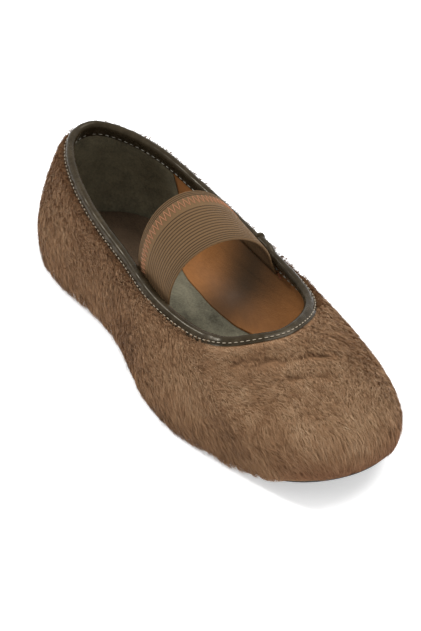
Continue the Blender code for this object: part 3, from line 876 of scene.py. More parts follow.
def grow_zone(zone, seed, material):
    """The fur of one zone: tufts of strands that lie over each other like a combed pile."""
    settings = bpy.context.scene.plush_settings
    draw = np.random.default_rng(seed)
    patches = zone_patches(zone)
    square_metres = float((patches[2] * patches[3]).sum() / (FORM_WAYS * FORM_STEPS))
    tufts = int(square_metres * settings.tufts_per_square_cm * SQUARE_CM_PER_M)
    per_tuft = settings.strands_per_tuft
    way, share = choose_roots(patches, tufts, draw)
    place, facing = form.wall(way, share)
    lying, aside = flow(way, share, facing, place, settings)
    swing = np.radians(draw.normal(0.0, 10.0, tufts))[:, None]
    lying, aside = (lying * np.cos(swing) + aside * np.sin(swing),
                    aside * np.cos(swing) - lying * np.sin(swing))
    folds = fold_depth(place)
    lower = 1.16 - 0.40 * smooth_step((place[:, 2] - 0.012) / 0.028)
    tuft_length = settings.pile_length * lower * draw.uniform(0.8, 1.15, tufts) * (1.0 - 0.35 * folds)
    tuft_rise = draw.uniform(0.84, 1.0, tufts) * (1.0 - 0.75 * folds)
    tuft_tone = draw.normal(0.0, 0.055, tufts)

    each = np.repeat(np.arange(tufts), per_tuft)
    count = len(each)
    spread = settings.tuft_width * draw.normal(0.0, 0.5, (count, 2))
    root_way, root_share, _ = moved(way[each], share[each], lying[each] * spread[:, :1]
                                    + aside[each] * spread[:, 1:], 1.0)
    start = FUR_START / form.length(root_way)
    root_share = np.clip(root_share, start, 0.995)
    distance = root_share * form.length(root_way)
    fringe = (distance < FUR_START + 0.0025) & (draw.uniform(0.0, 1.0, count) < 0.32)
    fringe &= place[each, 0] < 0.045
    long = tuft_length[each] * draw.uniform(0.75, 1.1, count) * np.where(fringe, 0.62, 1.0)
    stray = draw.normal(0.0, 0.16, count)
    heading = unit(lying[each] + aside[each] * stray[:, None]
                   - aside[each] * (spread[:, 1:] / long[:, None]) * settings.clumping)
    _, down = form.tangents(root_way[fringe], root_share[fringe])
    heading[fringe] = unit(heading[fringe] - unit(down) * draw.uniform(0.5, 1.1, (fringe.sum(), 1)))
    base = BACKING + settings.ground_depth * 0.5 * pile_rise(distance)
    full = PILE_DEPTH * pile_rise(distance + 0.35 * long) * (0.55 + 0.45 * pile_rise(distance + long))
    edging = 0.06 * np.exp(-(((distance - FUR_START) / 0.003) ** 2))
    wild = draw.uniform(0.0, 1.0, count) > 0.985 - edging
    rise = tuft_rise[each] * draw.uniform(0.72, 1.02, count) + wild * 0.35
    toe_hem = smooth_step((place[each, 0] - 0.066) / 0.050) * smooth_step((root_share - 0.82) / 0.14)
    tip_offset = BACKING + full * rise * (1.0 - 0.5 * toe_hem)
    tip_offset = np.where(fringe, BACKING + draw.uniform(0.0026, 0.0046, count), tip_offset)
    points, sides = [], []
    roll = np.radians(draw.normal(0.0, 24.0, count))[:, None]
    for part, lift in ((0.0, 0.0), (0.45, 0.78), (1.0, 1.0)):
        at_way, at_share, past = moved(root_way, root_share, heading, long * part)
        offset = base + (tip_offset - base) * lift
        spot, out = form.wall(at_way, at_share, offset)
        spot[:, 2] -= past
        spot[:, :2] -= out[:, :2] * (past * 0.15)[:, None]
        points.append(spot)
        sides.append(out)
    floor = hem_at(points[2]) + draw.uniform(-0.0006, 0.0012, count)
    for spot in points:
        spot[:, 2] = np.maximum(spot[:, 2], floor)
    width = settings.strand_width * draw.uniform(0.7, 1.2, count)
    along = [unit(points[1] - points[0]), unit(points[2] - points[0]), unit(points[2] - points[1])]
    shape, faces = strand_shape()
    vertices = np.empty((count, len(shape), 3))
    for index, (way_up, edge) in enumerate(shape):
        level = int(round(way_up * 2))
        out = sides[level]
        across = unit(np.cross(along[level], out))
        tilted = across * np.cos(roll) + out * np.sin(roll)
        girth = width * (1.0, 0.85, 0.0)[level] * 0.5
        vertices[:, index] = points[level] + tilted * (girth * edge)[:, None]
    place = points[0]
    tone = 0.47 + 0.06 * ripple(place, 0.030, 21) + 0.05 * ripple(place, 0.009, 22)
    # The folds are darkened with painted shade.
    tone += tuft_tone[each] + draw.normal(0.0, 0.085, count) - 0.50 * folds[each]
    tone += settings.top_light * (facing[each, 2] - 0.35)
    # Painted shade: the fur is darker in the folded band just in front of the throat, below the binding.
    near_throat = np.exp(-(((place[:, 0] - 0.068) / 0.010) ** 2)) * smooth_step((place[:, 2] - 0.034) / 0.006)
    tone -= 0.11 * near_throat
    # Painted shade: the fur is darker low on the wall, near the floor.
    tone -= 0.12 * smooth_step((0.014 - place[:, 2]) / 0.012)
    tone = np.clip(tone, 0.03, 0.97)
    mesh = bpy.data.meshes.new(zone.name)
    starts = (np.arange(count) * len(shape))[:, None, None]
    mesh.from_pydata(vertices.reshape(-1, 3), [], (faces[None] + starts).reshape(-1, 3))
    maps = mesh.uv_layers.new(name=STRAND_MAP)
    spots = np.empty((count, len(shape), 2))
    spots[:, :, 0] = tone[:, None] + 0.02 * shape[None, :, 1]
    spots[:, :, 1] = 0.02 + 0.96 * shape[None, :, 0]
    corners = (faces[None] + starts).reshape(-1)
    maps.data.foreach_set("uv", spots.reshape(-1, 2)[corners].astype(np.float32).ravel())
    add_piece(zone.name, mesh, material)


def make_linings():
    """The tan leather lining of the quarters, and the dark suede lining lapped over it at the heel."""
    settings = bpy.context.scene.lining_settings
    lap = settings.heel_lap
    top = BINDING_LEATHER + GAP
    ways = np.arange(BAND_SECTIONS) / BAND_SECTIONS
    shares = 1.0 - np.linspace(1.0, 0.0, 26) ** 1.5

    def side(ways, offset):
        reach = form.length(ways)
        return [form.below_collar(ways, top + share * (reach - top) * 0.998, offset)[0] for share in shares]

    rows = side(ways, -(LINING - lap)) + side(ways, -0.0001)[::-1]
    leather = lining_leather_finish()
    add_piece("quarter_lining", to_mesh("quarter_lining", bend_grid(np.stack(rows, 1)), LINING_CORNER),
              leather)
    outer_seam = form.way_at(settings.seam_along, inner=False)
    inner_seam = form.way_at(settings.seam_along, inner=True) - 1.0
    ways = np.linspace(inner_seam, outer_seam, 161)
    rows = side(ways, -LINING) + side(ways, -(LINING - lap) - 0.00002)[::-1]
    bm = bend_grid(np.stack(rows, 1), joined_along=False)
    suede = suede_finish("heel_suede", tuple(settings.heel_colour))
    add_piece("heel_lining", to_mesh("heel_lining", bm, LINING_CORNER), suede)
    line_arch(leather)


def line_arch(leather):
    """The lining where it turns in over the insole at the arch: a soft hollow curve in section."""
    table = np.array(ARCH_EDGE)
    along = np.linspace(table[0, 0], table[-1, 0], 150)
    edge = np.interp(along, table[:, 0], table[:, 1])
    for _ in range(12):
        edge[1:-1] = (edge[:-2] + 2 * edge[1:-1] + edge[2:]) / 4
    grown = smooth_step((along - along[0]) / 0.016) * smooth_step((along[-1] - along) / 0.016)
    guess = np.linspace(0.5, 1.0, 2000)
    shares = 1.0 - (0.04 + 0.40 * grown)
    ways = np.interp(-along, -form.wall(guess, np.full(len(guess), 0.8))[0][:, 0], guess)
    top, facing = form.wall(ways, shares, -(LINING + 0.0001))
    _, down = form.tangents(ways, shares)
    floor = sole_top(along_sole(along)) + GAP + INSOLE_THICKNESS
    end = np.stack([along, edge, floor + 0.0002], -1)
    reach = np.linalg.norm(top - end, axis=1, keepdims=True)
    first = top + unit(down) * reach * 0.42
    second = end + np.array([0.0, 1.0, 0.0]) * reach * 0.36
    second[:, 2] = end[:, 2] + 0.0002
    curve = cubic((top, first, second, end), np.linspace(0.0, 1.0, 26)[:, None])
    thick = np.array([0.0, 0.0, 0.0007])
    rows = np.concatenate([curve + thick, (curve - np.array([0.0, 0.0, 0.0002]))[::-1]])
    bm = bend_grid(rows.transpose(1, 0, 2), joined_along=False)
    add_piece("arch_lining", to_mesh("arch_lining", bm, LINING_CORNER), leather)


def sew(name, centres, forwards, uprights, length, thickness, material, slot):
    """Short stitches of thread, each sunk a little into what it is sewn through."""
    bm = bmesh.new()
    for centre, ahead, up in zip(centres, forwards, uprights):
        ahead, up = Vector(ahead).normalized(), Vector(up).normalized()
        side = up.cross(ahead).normalized()
        up = ahead.cross(side)
        turn = Matrix((ahead, side, up)).transposed().to_4x4()
        size = Matrix.Diagonal((length / 2, thickness / 2, thickness / 2, 1.0))
        along_x = Matrix.Rotation(math.pi / 2, 4, "Y")
        bmesh.ops.create_uvsphere(bm, u_segments=8, v_segments=5, radius=1.0,
                                  matrix=Matrix.Translation(centre) @ turn @ size @ along_x)
    add_piece(name, to_mesh(name, bm), material)


def row_of_stitches(ways, distance, offset, pitch):
    """Centres, directions and outward directions of stitches along the collar."""
    points, out = form.below_collar(ways, np.full(len(ways), distance), np.full(len(ways), offset))
    gone = run_along(points)
    wanted = np.arange(pitch / 2, gone[-1], pitch)
    centres = points_at(wanted, gone, points)
    return centres, unit(np.gradient(centres, axis=0)), unit(points_at(wanted, gone, out))


def over_collar(ways, out, inside, lift, pucker=0.0):
    """Rows of points from outside the collar over its edge to the inside, at offsets from the wall."""
    middle, half = (out - inside) / 2.0, (out + inside) / 2.0
    rows = []
    for distance in (BINDING_OUTSIDE + 0.0004, BINDING_OUTSIDE - 0.0003, 0.0046, 0.0038, 0.0030):
        sunk = smooth_step((distance - 0.0038) / 0.0012) * 0.00035
        rows.append(form.below_collar(ways, distance, out + pucker - sunk)[0])
    for turn in np.radians(np.linspace(0.0, 180.0, 11)):
        offset = middle + half * math.cos(turn) + pucker * math.cos(turn)
        point = form.below_collar(ways, 0.0021 * (1.0 - math.sin(turn)), offset)[0]
        point[:, 2] += (lift + pucker) * math.sin(turn)
        rows.append(point)
    for distance in (0.0032, 0.0045, 0.0058, 0.0068, BINDING_INSIDE - 0.0003, BINDING_INSIDE):
        rows.append(form.below_collar(ways, distance, -inside - 0.5 * pucker)[0])
    return rows


def make_joint(leather):
    """The end of the binding where it laps over its start: a narrow raised edge over the collar."""
    middle = form.way_at(JOINT_ALONG, inner=True)
    front = form.way_at(JOINT_ALONG + 0.0022, inner=True)
    ways = np.linspace(middle, front, 9)
    proud = 0.0008 * np.sin(np.linspace(0.0, math.pi, 9)) ** 0.6
    out, inside = BACKING + GAP + BINDING_LEATHER * 1.9, LINING + GAP + BINDING_LEATHER
    upper = over_collar(ways, out + proud, inside + proud, BINDING_LEATHER * 0.9 + proud)
    under = over_collar(ways, out - 0.0002, inside - 0.0002, BINDING_LEATHER * 0.9 - 0.0002)
    bm = bend_grid(np.stack(upper + under[::-1], 1), joined_along=False)
    add_piece("binding_joint", to_mesh("binding_joint", bm, BINDING_CORNER), leather)


def sew_loose_thread():
    """A short loose end of thread that hangs inside the collar, in front of the joint."""
    settings = bpy.context.scene.trim_settings
    alongs = np.array([0.1285, 0.1300, 0.1292, 0.1308, 0.1299, 0.1312])
    depths = BINDING_INSIDE + np.array([-0.0006, 0.0006, 0.0016, 0.0024, 0.0036, 0.0044])
    ways = np.array([form.way_at(along, inner=True) for along in alongs])
    points, out = form.below_collar(ways, depths, -(LINING + 0.0012))
    points[0] -= out[0] * 0.0012
    thread = thread_finish("loose_thread", settings.loose_thread_colour)
    sew("loose_thread_end", (points[:-1] + points[1:]) / 2, np.diff(points, axis=0), -out[:-1], 0.0021,
        settings.thread_thickness * 1.2, thread, "binding_leather")


def make_binding():
    """The leather folded over the collar, lapped at its joint, with a soft rolled top."""
    joint = form.way_at(JOINT_ALONG, inner=True)
    end = form.way_at(JOINT_ALONG + JOINT_OVERLAP, inner=True)
    fade = form.way_at(JOINT_ALONG + 1.5 * JOINT_OVERLAP, inner=True)
    edge = (joint - end) * GAP / JOINT_OVERLAP
    regular = np.arange(BAND_SECTIONS) / BAND_SECTIONS
    clear = 0.25 / BAND_SECTIONS
    ways = np.array(sorted([way for way in regular if min(abs(way - joint), abs(way - end)) > clear]
                           + [joint, joint + edge, end]))
    doubled = np.interp(ways, [fade, end, joint, joint + edge], [0.0, 1.0, 1.0, 0.0])
    near_out, near_in = BACKING + GAP, LINING + GAP
    leather = BINDING_LEATHER * (1.0 + 0.9 * doubled)
    far_out, far_in = near_out + leather, near_in + BINDING_LEATHER
    base, _ = form.below_collar(ways, np.full(len(ways), 0.0004))
    pucker = 0.00005 * ripple(base, 0.005, 31) + 0.00010 * ripple(base, 0.012, 32)
    rows = over_collar(ways, far_out, far_in, leather - BINDING_LEATHER, pucker)
    for distance, offset in ((BINDING_INSIDE, -near_in), (0.0040, -near_in), (BINDING_LEATHER, -near_in),
                             (BINDING_LEATHER, near_out), (0.0030, near_out), (BINDING_OUTSIDE, near_out)):
        rows.append(form.below_collar(ways, distance, offset)[0])
    bm = bend_grid(np.stack(rows, 1))
    finish = leather_finish()
    add_piece("collar_binding_leather", to_mesh("collar_binding_leather", bm, BINDING_CORNER), finish,
              ("collar_binding",))
    make_joint(finish)


def sew_binding():
    """Two rows of stitches in pale thread, one inside the collar and one outside it."""
    settings = bpy.context.scene.trim_settings
    ways = np.linspace(0.0, 1.0, 1200, endpoint=False)
    out, into = BACKING + GAP + BINDING_LEATHER + 0.00008, LINING + GAP + BINDING_LEATHER
    outside = row_of_stitches(ways, BINDING_OUTSIDE - OUTER_ROW_INSET, out, settings.stitch_pitch)
    inside = row_of_stitches(ways, BINDING_INSIDE - INNER_ROW_INSET, -into, settings.inner_pitch)
    outer_thread = thread_finish("outer_thread", settings.outer_thread_colour)
    inner_thread = thread_finish("inner_thread", settings.inner_thread_colour)
    sew("binding_stitches_outside", *outside, settings.stitch_length, settings.thread_thickness,
        outer_thread, "binding_leather")
    sew("binding_stitches_inside", *inside, settings.inner_pitch * 0.66, settings.thread_thickness,
        inner_thread, "binding_leather")
    sew_loose_thread()


def strap_edge(name, shift):
    """Points along one edge of the strap, from inside the outer wall to inside the inner one."""
    inward = LINING + GAP + BINDING_LEATHER + STRAP_CLEARANCE + STRAP_THICKNESS / 2
    depths = np.array([STRAP_FOOT_DEPTH, STRAP_TUCK / 2, STRAP_TUCK])
    feet = []
    for along, inner in ((STRAP_OUTER_FOOT, False), (STRAP_INNER_FOOT, True)):
        way = form.way_at(along + shift, inner)
        feet.append(form.below_collar(np.full(3, way), depths, np.full(3, -inward))[0])
    handles = []
    for row, foot, side in zip(STRAP_HANDLES[name], feet, (-1.0, 1.0)):
        lean = (row.along * STRAP_WIDTH, side * row.outward * BALL_WIDTH, row.rise * STRAP_RISE)
        handles.append(foot[0] + np.array(lean))
    arc = cubic((feet[0][0], *handles, feet[1][0]), np.linspace(0.0, 1.0, 91))
    return np.concatenate([feet[0][2:0:-1], arc, feet[1][1:]])


def rib_profile(across):
    """How proud the elastic stands across its width, from 0 in a groove to 1 on a rib."""
    millimetres = across * STRAP_WIDTH * 1000.0
    height = np.ones_like(across)
    for groove in STRAP_GROOVES:
        height -= np.exp(-(((millimetres - groove) / GROOVE_WIDTH) ** 2))
    return np.clip(height, 0.0, 1.0)


def make_strap():
    """The elastic band over the instep, with its ribs."""
    settings = bpy.context.scene.trim_settings
    rear, front = strap_edge("rear", -STRAP_WIDTH / 2), strap_edge("front", STRAP_WIDTH / 2)
    across = np.linspace(0.0, 1.0, 153)
    middle = rear[:, None] * (1 - across)[None, :, None] + front[:, None] * across[None, :, None]
    up = unit(np.cross(np.gradient(middle, axis=1), np.gradient(middle, axis=0)))
    if up[len(rear) // 2, 0, 2] < 0:
        up = -up
    rib = rib_profile(across)
    half = STRAP_THICKNESS / 2 * (0.66 + 0.34 * rib)
    edge = np.sqrt(np.clip(1.0 - ((np.abs(across - 0.5) - 0.485) / 0.015).clip(0, 1) ** 2, 0.04, 1.0))
    top = middle + up * (half * edge)[None, :, None]
    under = middle - up * (STRAP_THICKNESS / 2 * 0.8 * edge)[None, :, None]
    sections = np.concatenate([top, under[:, ::-1]], 1)
    proud = np.tile(np.concatenate([rib, rib[::-1]]), (len(rear), 1))
    bm = bend_grid(sections, joined_along=False, map_name="Weave", Rib=proud)
    length = float(np.linalg.norm(np.diff(middle[:, 76], axis=0), axis=1).sum())
    layer = bm.loops.layers.uv["Weave"]
    for face in bm.faces:
        for loop in face.loops:
            spot = loop[layer].uv
            place = (spot.y * 2.0) if spot.y < 0.5 else (2.0 - spot.y * 2.0)
            loop[layer].uv = (spot.x * length, place * STRAP_WIDTH)
    add_piece("strap_elastic", to_mesh("strap_elastic", bm), elastic_finish(),
              ("strap",))
    sew_strap(middle, up, settings)


def sew_strap(middle, up, settings):
    """The zigzag row near the strap's rear edge."""
    lines = []
    for share in (settings.zigzag_from, settings.zigzag_to):
        place = share * (middle.shape[1] - 1)
        low = int(place)
        line = middle[:, low] * (1 - place + low) + middle[:, low + 1] * (place - low)
        lines.append(line + up[:, low] * (STRAP_THICKNESS / 2 + 0.0001))
    gone = run_along(lines[0])
    steps = np.arange(0.006, gone[-1] - 0.006, settings.zigzag_pitch / 2)
    points = points_at(steps, gone, lines[0])
    points[1::2] = points_at(steps[1::2], gone, lines[1])
    normals = points_at(steps, gone, up[:, 20])
    centres = (points[:-1] + points[1:]) / 2
    thread = thread_finish("strap_thread", settings.strap_thread_colour)
    length = float(np.linalg.norm(np.diff(points, axis=0), axis=1).mean()) * 1.12
    sew("strap_stitches", centres, np.diff(points, axis=0), normals[:-1], length,
        settings.thread_thickness * 0.95, thread, "elastic_webbing")


def plan_plate(name, sides, columns, top, bottom):
    """A plate between two plan lines: a grid bent to them, its copy pushed down for the underside.

    top and bottom give heights for plan points and the share across them.
    """
    outer, inner = sides
    across = np.linspace(0.0, 1.0, columns + 1)
    plan = outer[:, None] * (1 - across)[None, :, None] + inner[:, None] * across[None, :, None]
    heights = top(plan[..., 0], plan[..., 1], across[None])
    sections = np.concatenate([plan, heights[..., None]], -1)
    lowest = bottom(plan[..., 0], plan[..., 1], across[None])
    bm = bend_grid(sections, joined_along=False, joined_across=False, Lowest=lowest)
    layer = bm.verts.layers.float["Lowest"]
    made = bmesh.ops.extrude_face_region(bm, geom=list(bm.faces))
    for item in made["geom"]:
        if isinstance(item, bmesh.types.BMVert):
            item.co.z = item[layer]
    return to_mesh(name, bm, PLATE_CORNER)


def edge_fall(across, reach, depth):
    """A drop near both sides of a plate, for its soft edge."""
    near = np.minimum(across, 1.0 - across)
    return depth * (1.0 - np.sqrt(np.clip(1.0 - (1.0 - np.clip(near / reach, 0, 1)) ** 2, 0.0, 1.0)))


def resample(side, count, last=None):
    """A plan line at even steps along it, ended at an x if told."""
    if last is not None:
        keep = side[:, 0] < last
        end = np.array([last, np.interp(last, side[keep.argmin() - 1:, 0], side[keep.argmin() - 1:, 1])])
        side = np.vstack([side[keep], end])
    gone = run_along(side)
    return points_at(np.linspace(0.0, gone[-1], count), gone, side)


def dips(x, y, size, seed):
    """A smooth random field over a plan, for a surface that is not quite flat."""
    return ripple(np.stack([x, y, np.zeros_like(x)], -1), size, seed)


def make_insole():
    """The suede insole with a soft edge and the foot's print worn into it."""
    settings = bpy.context.scene.lining_settings
    sides = [resample(side, 200) for side in form.edge_side(LINING + GAP)]

    def top(x, y, across):
        worn = 0.00018 * dips(x, y, 0.03, 41)
        level = sole_top(along_sole(x)) + GAP + INSOLE_THICKNESS
        return level - edge_fall(across, 0.05, 0.0005) + worn - 0.0002

    def bottom(x, y, across):
        return sole_top(along_sole(x)) + GAP + 0.0 * across

    mesh = plan_plate("insole_suede", sides, 40, top, bottom)
    suede = suede_finish("insole_suede", tuple(settings.insole_colour), 0.0010)
    add_piece("insole_suede", mesh, suede, ("insole",))


def make_heel_pad():
    """The thin felt pad at the heel, square in front with round corners."""
    settings = bpy.context.scene.lining_settings
    length = PAD_LENGTH + form.shift[0]
    sides = []
    for side in form.edge_side(LINING + GAP + PAD_INSET):
        straight = resample(side, 70, length - PAD_CORNER)
        turned = []
        for turn in np.radians(np.linspace(8.0, 90.0, 12)):
            x = length - PAD_CORNER * (1.0 - math.sin(turn))
            y = np.interp(x, side[:, 0], side[:, 1])
            turned.append((x, y - math.copysign(PAD_CORNER * (1.0 - math.cos(turn)), y)))
        sides.append(np.vstack([straight, turned]))

    def top(x, y, across):
        level = sole_top(along_sole(x)) + 2 * GAP + INSOLE_THICKNESS + PAD_THICKNESS
        front = smooth_step((length - x) / 0.004)
        crown = 0.0003 * dips(x, y, 0.02, 43)
        return level - edge_fall(across, 0.10, 0.0010) - (1.0 - front) * 0.0008 + crown - 0.0002

    def bottom(x, y, across):
        return sole_top(along_sole(x)) + 2 * GAP + INSOLE_THICKNESS + 0.0 * across

    mesh = plan_plate("heel_pad_felt", sides, 32, top, bottom)
    felt = suede_finish("heel_pad_felt", tuple(settings.pad_colour), 0.0009)
    piece = add_piece("heel_pad_felt", mesh, felt, ("heel_pad",))


def tread(x, across, start, end):
    """Depth of the tread's cross grooves, with a plain rim round them."""
    settings = bpy.context.scene.sole_settings
    inside = smooth_step((x - start) / 0.003) * smooth_step((end - x) / 0.003)
    near = np.minimum(across, 1.0 - across)
    inside = inside * smooth_step((near - 0.08) / 0.02)
    wave = 0.5 - 0.5 * np.cos(2 * math.pi * x / settings.tread_pitch)
    return settings.tread_depth * inside * smooth_step((wave - 0.55) / 0.3)


def make_sole():
    """The rubber outsole and heel with shallow cross grooves underneath."""
    rubber = rubber_finish()
    sides = [resample(side, 620) for side in form.edge_side(0.0)]

    def top(x, y, across):
        return sole_top(along_sole(x)) + 0.0 * across

    def bottom(x, y, across):
        level = sole_bottom(along_sole(x)) + edge_fall(across, 0.02, OUTSOLE_EDGE_ROUND)
        return level + tread(x, across, form.shift[0] + GROOVES_START, form.shift[0] + GROOVES_END)

    add_piece("outsole_rubber", plan_plate("outsole_rubber", sides, 32, top, bottom),
              rubber, ("outsole",))
    end = form.shift[0] + HEEL_LENGTH
    sides = [resample(side, 300, end) for side in form.edge_side(HEEL_INSET)]

    def heel_top(x, y, across):
        return sole_bottom(along_sole(x)) - GAP + 0.0 * across

    def heel_bottom(x, y, across):
        grooves = tread(x, across, form.shift[0] + HEEL_GROOVES_START, end - HEEL_GROOVES_INSET)
        return grooves + edge_fall(across, 0.02, 0.0003)

    add_piece("heel_rubber", plan_plate("heel_rubber", sides, 28, heel_top, heel_bottom),
              rubber, ("heel",))


def make_floor(settings):
    """A wide pale floor."""
    bm = bmesh.new()
    bmesh.ops.create_grid(bm, x_segments=1, y_segments=1, size=settings.floor_size / 2)
    mesh = to_mesh("floor", bm)
    floor = bpy.data.objects.new("floor", mesh)
    bpy.context.scene.collection.objects.link(floor)
    mesh.materials.append(floor_finish())


def add_lamp(name, place, size, power):
    """A round lamp that looks at the shoe."""
    data = bpy.data.lights.new(name, "AREA")
    data.shape = "DISK"
    data.size = size
    data.energy = power
    lamp = bpy.data.objects.new(name, data)
    bpy.context.scene.collection.objects.link(lamp)
    lamp.location = place
    lamp.rotation_mode = "QUATERNION"
    lamp.rotation_quaternion = (Vector(LAMP_AIM) - Vector(place)).to_track_quat("-Z", "Y")


def add_camera(settings):
    """The camera at the photograph's viewing angle."""
    data = bpy.data.cameras.new("photo_camera")
    camera = bpy.data.objects.new("photo_camera", data)
    bpy.context.scene.collection.objects.link(camera)
    data.lens = settings.lens
    data.clip_start, data.clip_end = 0.05, 20.0
    camera.location = settings.eye
    camera.rotation_mode = "QUATERNION"
    camera.rotation_quaternion = (Vector(settings.aim) - Vector(settings.eye)).to_track_quat("-Z", "Y")
    bpy.context.scene.camera = camera


def number_setting(label, words, default, **kind):
    """A number that a user may change."""
    return bpy.props.FloatProperty(name=label, description=words, default=default, **kind)


def length_setting(label, words, default):
    """A length that a user may change."""
    return number_setting(label, words, default, unit="LENGTH")


def colour_setting(label, words, default):
    """A colour that a user may change."""
    return bpy.props.FloatVectorProperty(
        name=label, description=words, subtype="COLOR", default=default)


class PlushSettings(bpy.types.PropertyGroup):
    pile_length: length_setting("Pile length", "Length of a strand", 0.0060)
    strand_width: length_setting("Strand width", "Width of a strand at its root", 0.00025)
    ground_depth: length_setting(
        "Ground depth", "Depth of the dense ground under the strands", 0.0026)
    tuft_width: length_setting("Tuft width", "How far a tuft's roots spread", 0.0009)
    tufts_per_square_cm: number_setting(
        "Tufts per cm2", "How many tufts grow on a square centimetre", 110.0)
    strands_per_tuft: bpy.props.IntProperty(
        name="Strands per tuft", description="How many strands a tuft has", default=6)
    clumping: number_setting(
        "Clumping", "How far a tuft's tips draw together", 0.35, subtype="FACTOR")
    toeward: number_setting("Toeward", "How strongly the fur lies towards the toe", 1.0)
    downward: number_setting("Downward", "How strongly the fur lies down the wall", 0.35)
    top_light: number_setting("Top light", "How much lighter the fur is where it looks up", 0.24)
    root_shade: number_setting(
        "Root shade", "How dark a strand is at its root", 0.74, subtype="FACTOR")
    dark_colour: colour_setting("Dark colour", "Darkest strands", (0.110, 0.058, 0.030))
    mid_colour: colour_setting("Middle colour", "Most strands", (0.275, 0.150, 0.075))
    light_colour: colour_setting("Light colour", "Light strands", (0.430, 0.280, 0.162))
    tip_colour: colour_setting("Palest colour", "Palest strands", (0.58, 0.42, 0.27))


class TrimSettings(bpy.types.PropertyGroup):
    leather_colour: colour_setting("Leather", "Colour of the binding", (0.0200, 0.0142, 0.0072))
    strap_colour: colour_setting("Elastic", "Colour of the strap", (0.116, 0.066, 0.028))
    outer_thread_colour: colour_setting(
        "Outer thread", "Thread outside the collar", (0.50, 0.42, 0.31))
    inner_thread_colour: colour_setting(
        "Inner thread", "Thread inside the collar", (0.42, 0.40, 0.33))
    strap_thread_colour: colour_setting(
        "Strap thread", "Thread of the zigzag row", (0.40, 0.165, 0.070))
    loose_thread_colour: colour_setting(
        "Loose thread", "Loose end inside the collar", (0.42, 0.10, 0.05))
    stitch_pitch: length_setting("Stitch pitch", "From one stitch to the next", 0.0027)
    inner_pitch: length_setting("Inner pitch", "From one inner stitch to the next", 0.0034)
    stitch_length: length_setting("Stitch length", "Length of a stitch that shows", 0.0018)
    thread_thickness: length_setting("Thread", "Thickness of the thread", 0.00045)
    zigzag_from: number_setting("Zigzag from", "Where the zigzag starts across the strap", 0.105)
    zigzag_to: number_setting("Zigzag to", "Where the zigzag ends across the strap", 0.255)
    zigzag_pitch: length_setting("Zigzag pitch", "Length of one whole zigzag", 0.0027)


class LiningSettings(bpy.types.PropertyGroup):
    quarter_colour: colour_setting("Quarters", "Leather lining", (0.400, 0.172, 0.056))
    heel_colour: colour_setting("Heel", "Suede lining of the heel", (0.160, 0.145, 0.095))
    # The colour of the strap's painted shadow on the lining
    strap_shadow_colour: colour_setting(
        "Worn quarters", "Darkened leather in front of the strap", (0.055, 0.034, 0.018))
    insole_colour: colour_setting("Insole", "Suede of the insole", (0.180, 0.168, 0.116))
    pad_colour: colour_setting("Heel pad", "Felt of the heel pad", (0.110, 0.074, 0.045))
    heel_lap: length_setting("Heel lap", "Thickness of the heel lining over the other", 0.0004)
    seam_along: length_setting("Seam", "Where the heel lining ends, from the heel's back", 0.0460)


class SoleSettings(bpy.types.PropertyGroup):
    rubber_colour: colour_setting("Rubber", "Colour of the sole", (0.022, 0.021, 0.020))
    tread_pitch: length_setting("Tread pitch", "From one groove to the next", 0.0032)
    tread_depth: length_setting("Tread depth", "Depth of a groove", 0.0005)


class StageSettings(bpy.types.PropertyGroup):
    floor_size: length_setting("Floor size", "Side of the square floor", 6.0)
    floor_colour: colour_setting("Floor", "Colour of the floor", (0.93, 0.93, 0.93))
    floor_glow: number_setting("Floor glow", "How much the floor is lightened", 0.42)
    room_light: number_setting("Room light", "Strength of the even light", 0.85)
    key_power: number_setting("Key lamp", "Power of the main lamp", 20.0, unit="POWER")
    side_power: number_setting(
        "Side lamp", "Power of the lamp at the outer side", 14.0, unit="POWER")
    lens: number_setting("Lens", "Focal length of the camera in millimetres", 134.0)
    eye: bpy.props.FloatVectorProperty(
        name="Eye", description="Where the camera is", subtype="XYZ", default=(0.7809, -0.4456, 0.6388))
    aim: bpy.props.FloatVectorProperty(
        name="Aim", description="What the camera looks at", subtype="XYZ", default=(0.006, -0.002, 0.024))


def grow_plush():
    """Every zone's strands, all of one material."""
    material = strand_finish()
    for number, zone in enumerate(FUR_ZONES):
        grow_zone(zone, 100 + number, material)


def set_stage():
    """The floor, two lamps, the even light of the room, and the camera."""
    settings = bpy.context.scene.stage_settings
    make_floor(settings)
    add_lamp("key_lamp", KEY_LAMP_PLACE, KEY_LAMP_SIZE, settings.key_power)
    add_lamp("side_lamp", SIDE_LAMP_PLACE, SIDE_LAMP_SIZE, settings.side_power)
    world = bpy.data.worlds.new("room")
    bpy.context.scene.world = world
    world.use_nodes = True
    background = world.node_tree.nodes["Background"]
    background.inputs["Color"].default_value = (1.0, 1.0, 1.0, 1.0)
    background.inputs["Strength"].default_value = settings.room_light
    bpy.context.scene.view_settings.view_transform = "Standard"
    add_camera(settings)


class FLAT_OT_make_skin(bpy.types.Operator):
    """Makes the woven back of the plush with its ground"""
    bl_idname = "ballet_flat.make_skin"
    bl_label = "Plush skin"

    def execute(self, context):
        make_skin()
        return {"FINISHED"}


class FLAT_OT_grow_plush(bpy.types.Operator):
    """Grows the strands of the plush, zone by zone"""
    bl_idname = "ballet_flat.grow_plush"
    bl_label = "Plush strands"

    def execute(self, context):
        grow_plush()
        return {"FINISHED"}


class FLAT_OT_make_linings(bpy.types.Operator):
    """Lines the quarters with leather and the heel with suede"""
    bl_idname = "ballet_flat.make_linings"
    bl_label = "Linings"

    def execute(self, context):
        make_linings()
        return {"FINISHED"}


class FLAT_OT_make_binding(bpy.types.Operator):
    """Folds the leather binding over the collar"""
    bl_idname = "ballet_flat.make_binding"
    bl_label = "Collar binding"

    def execute(self, context):
        make_binding()
        return {"FINISHED"}


class FLAT_OT_sew_binding(bpy.types.Operator):
    """Sews the binding's two rows of stitches"""
    bl_idname = "ballet_flat.sew_binding"
    bl_label = "Binding stitches"

    def execute(self, context):
        sew_binding()
        return {"FINISHED"}


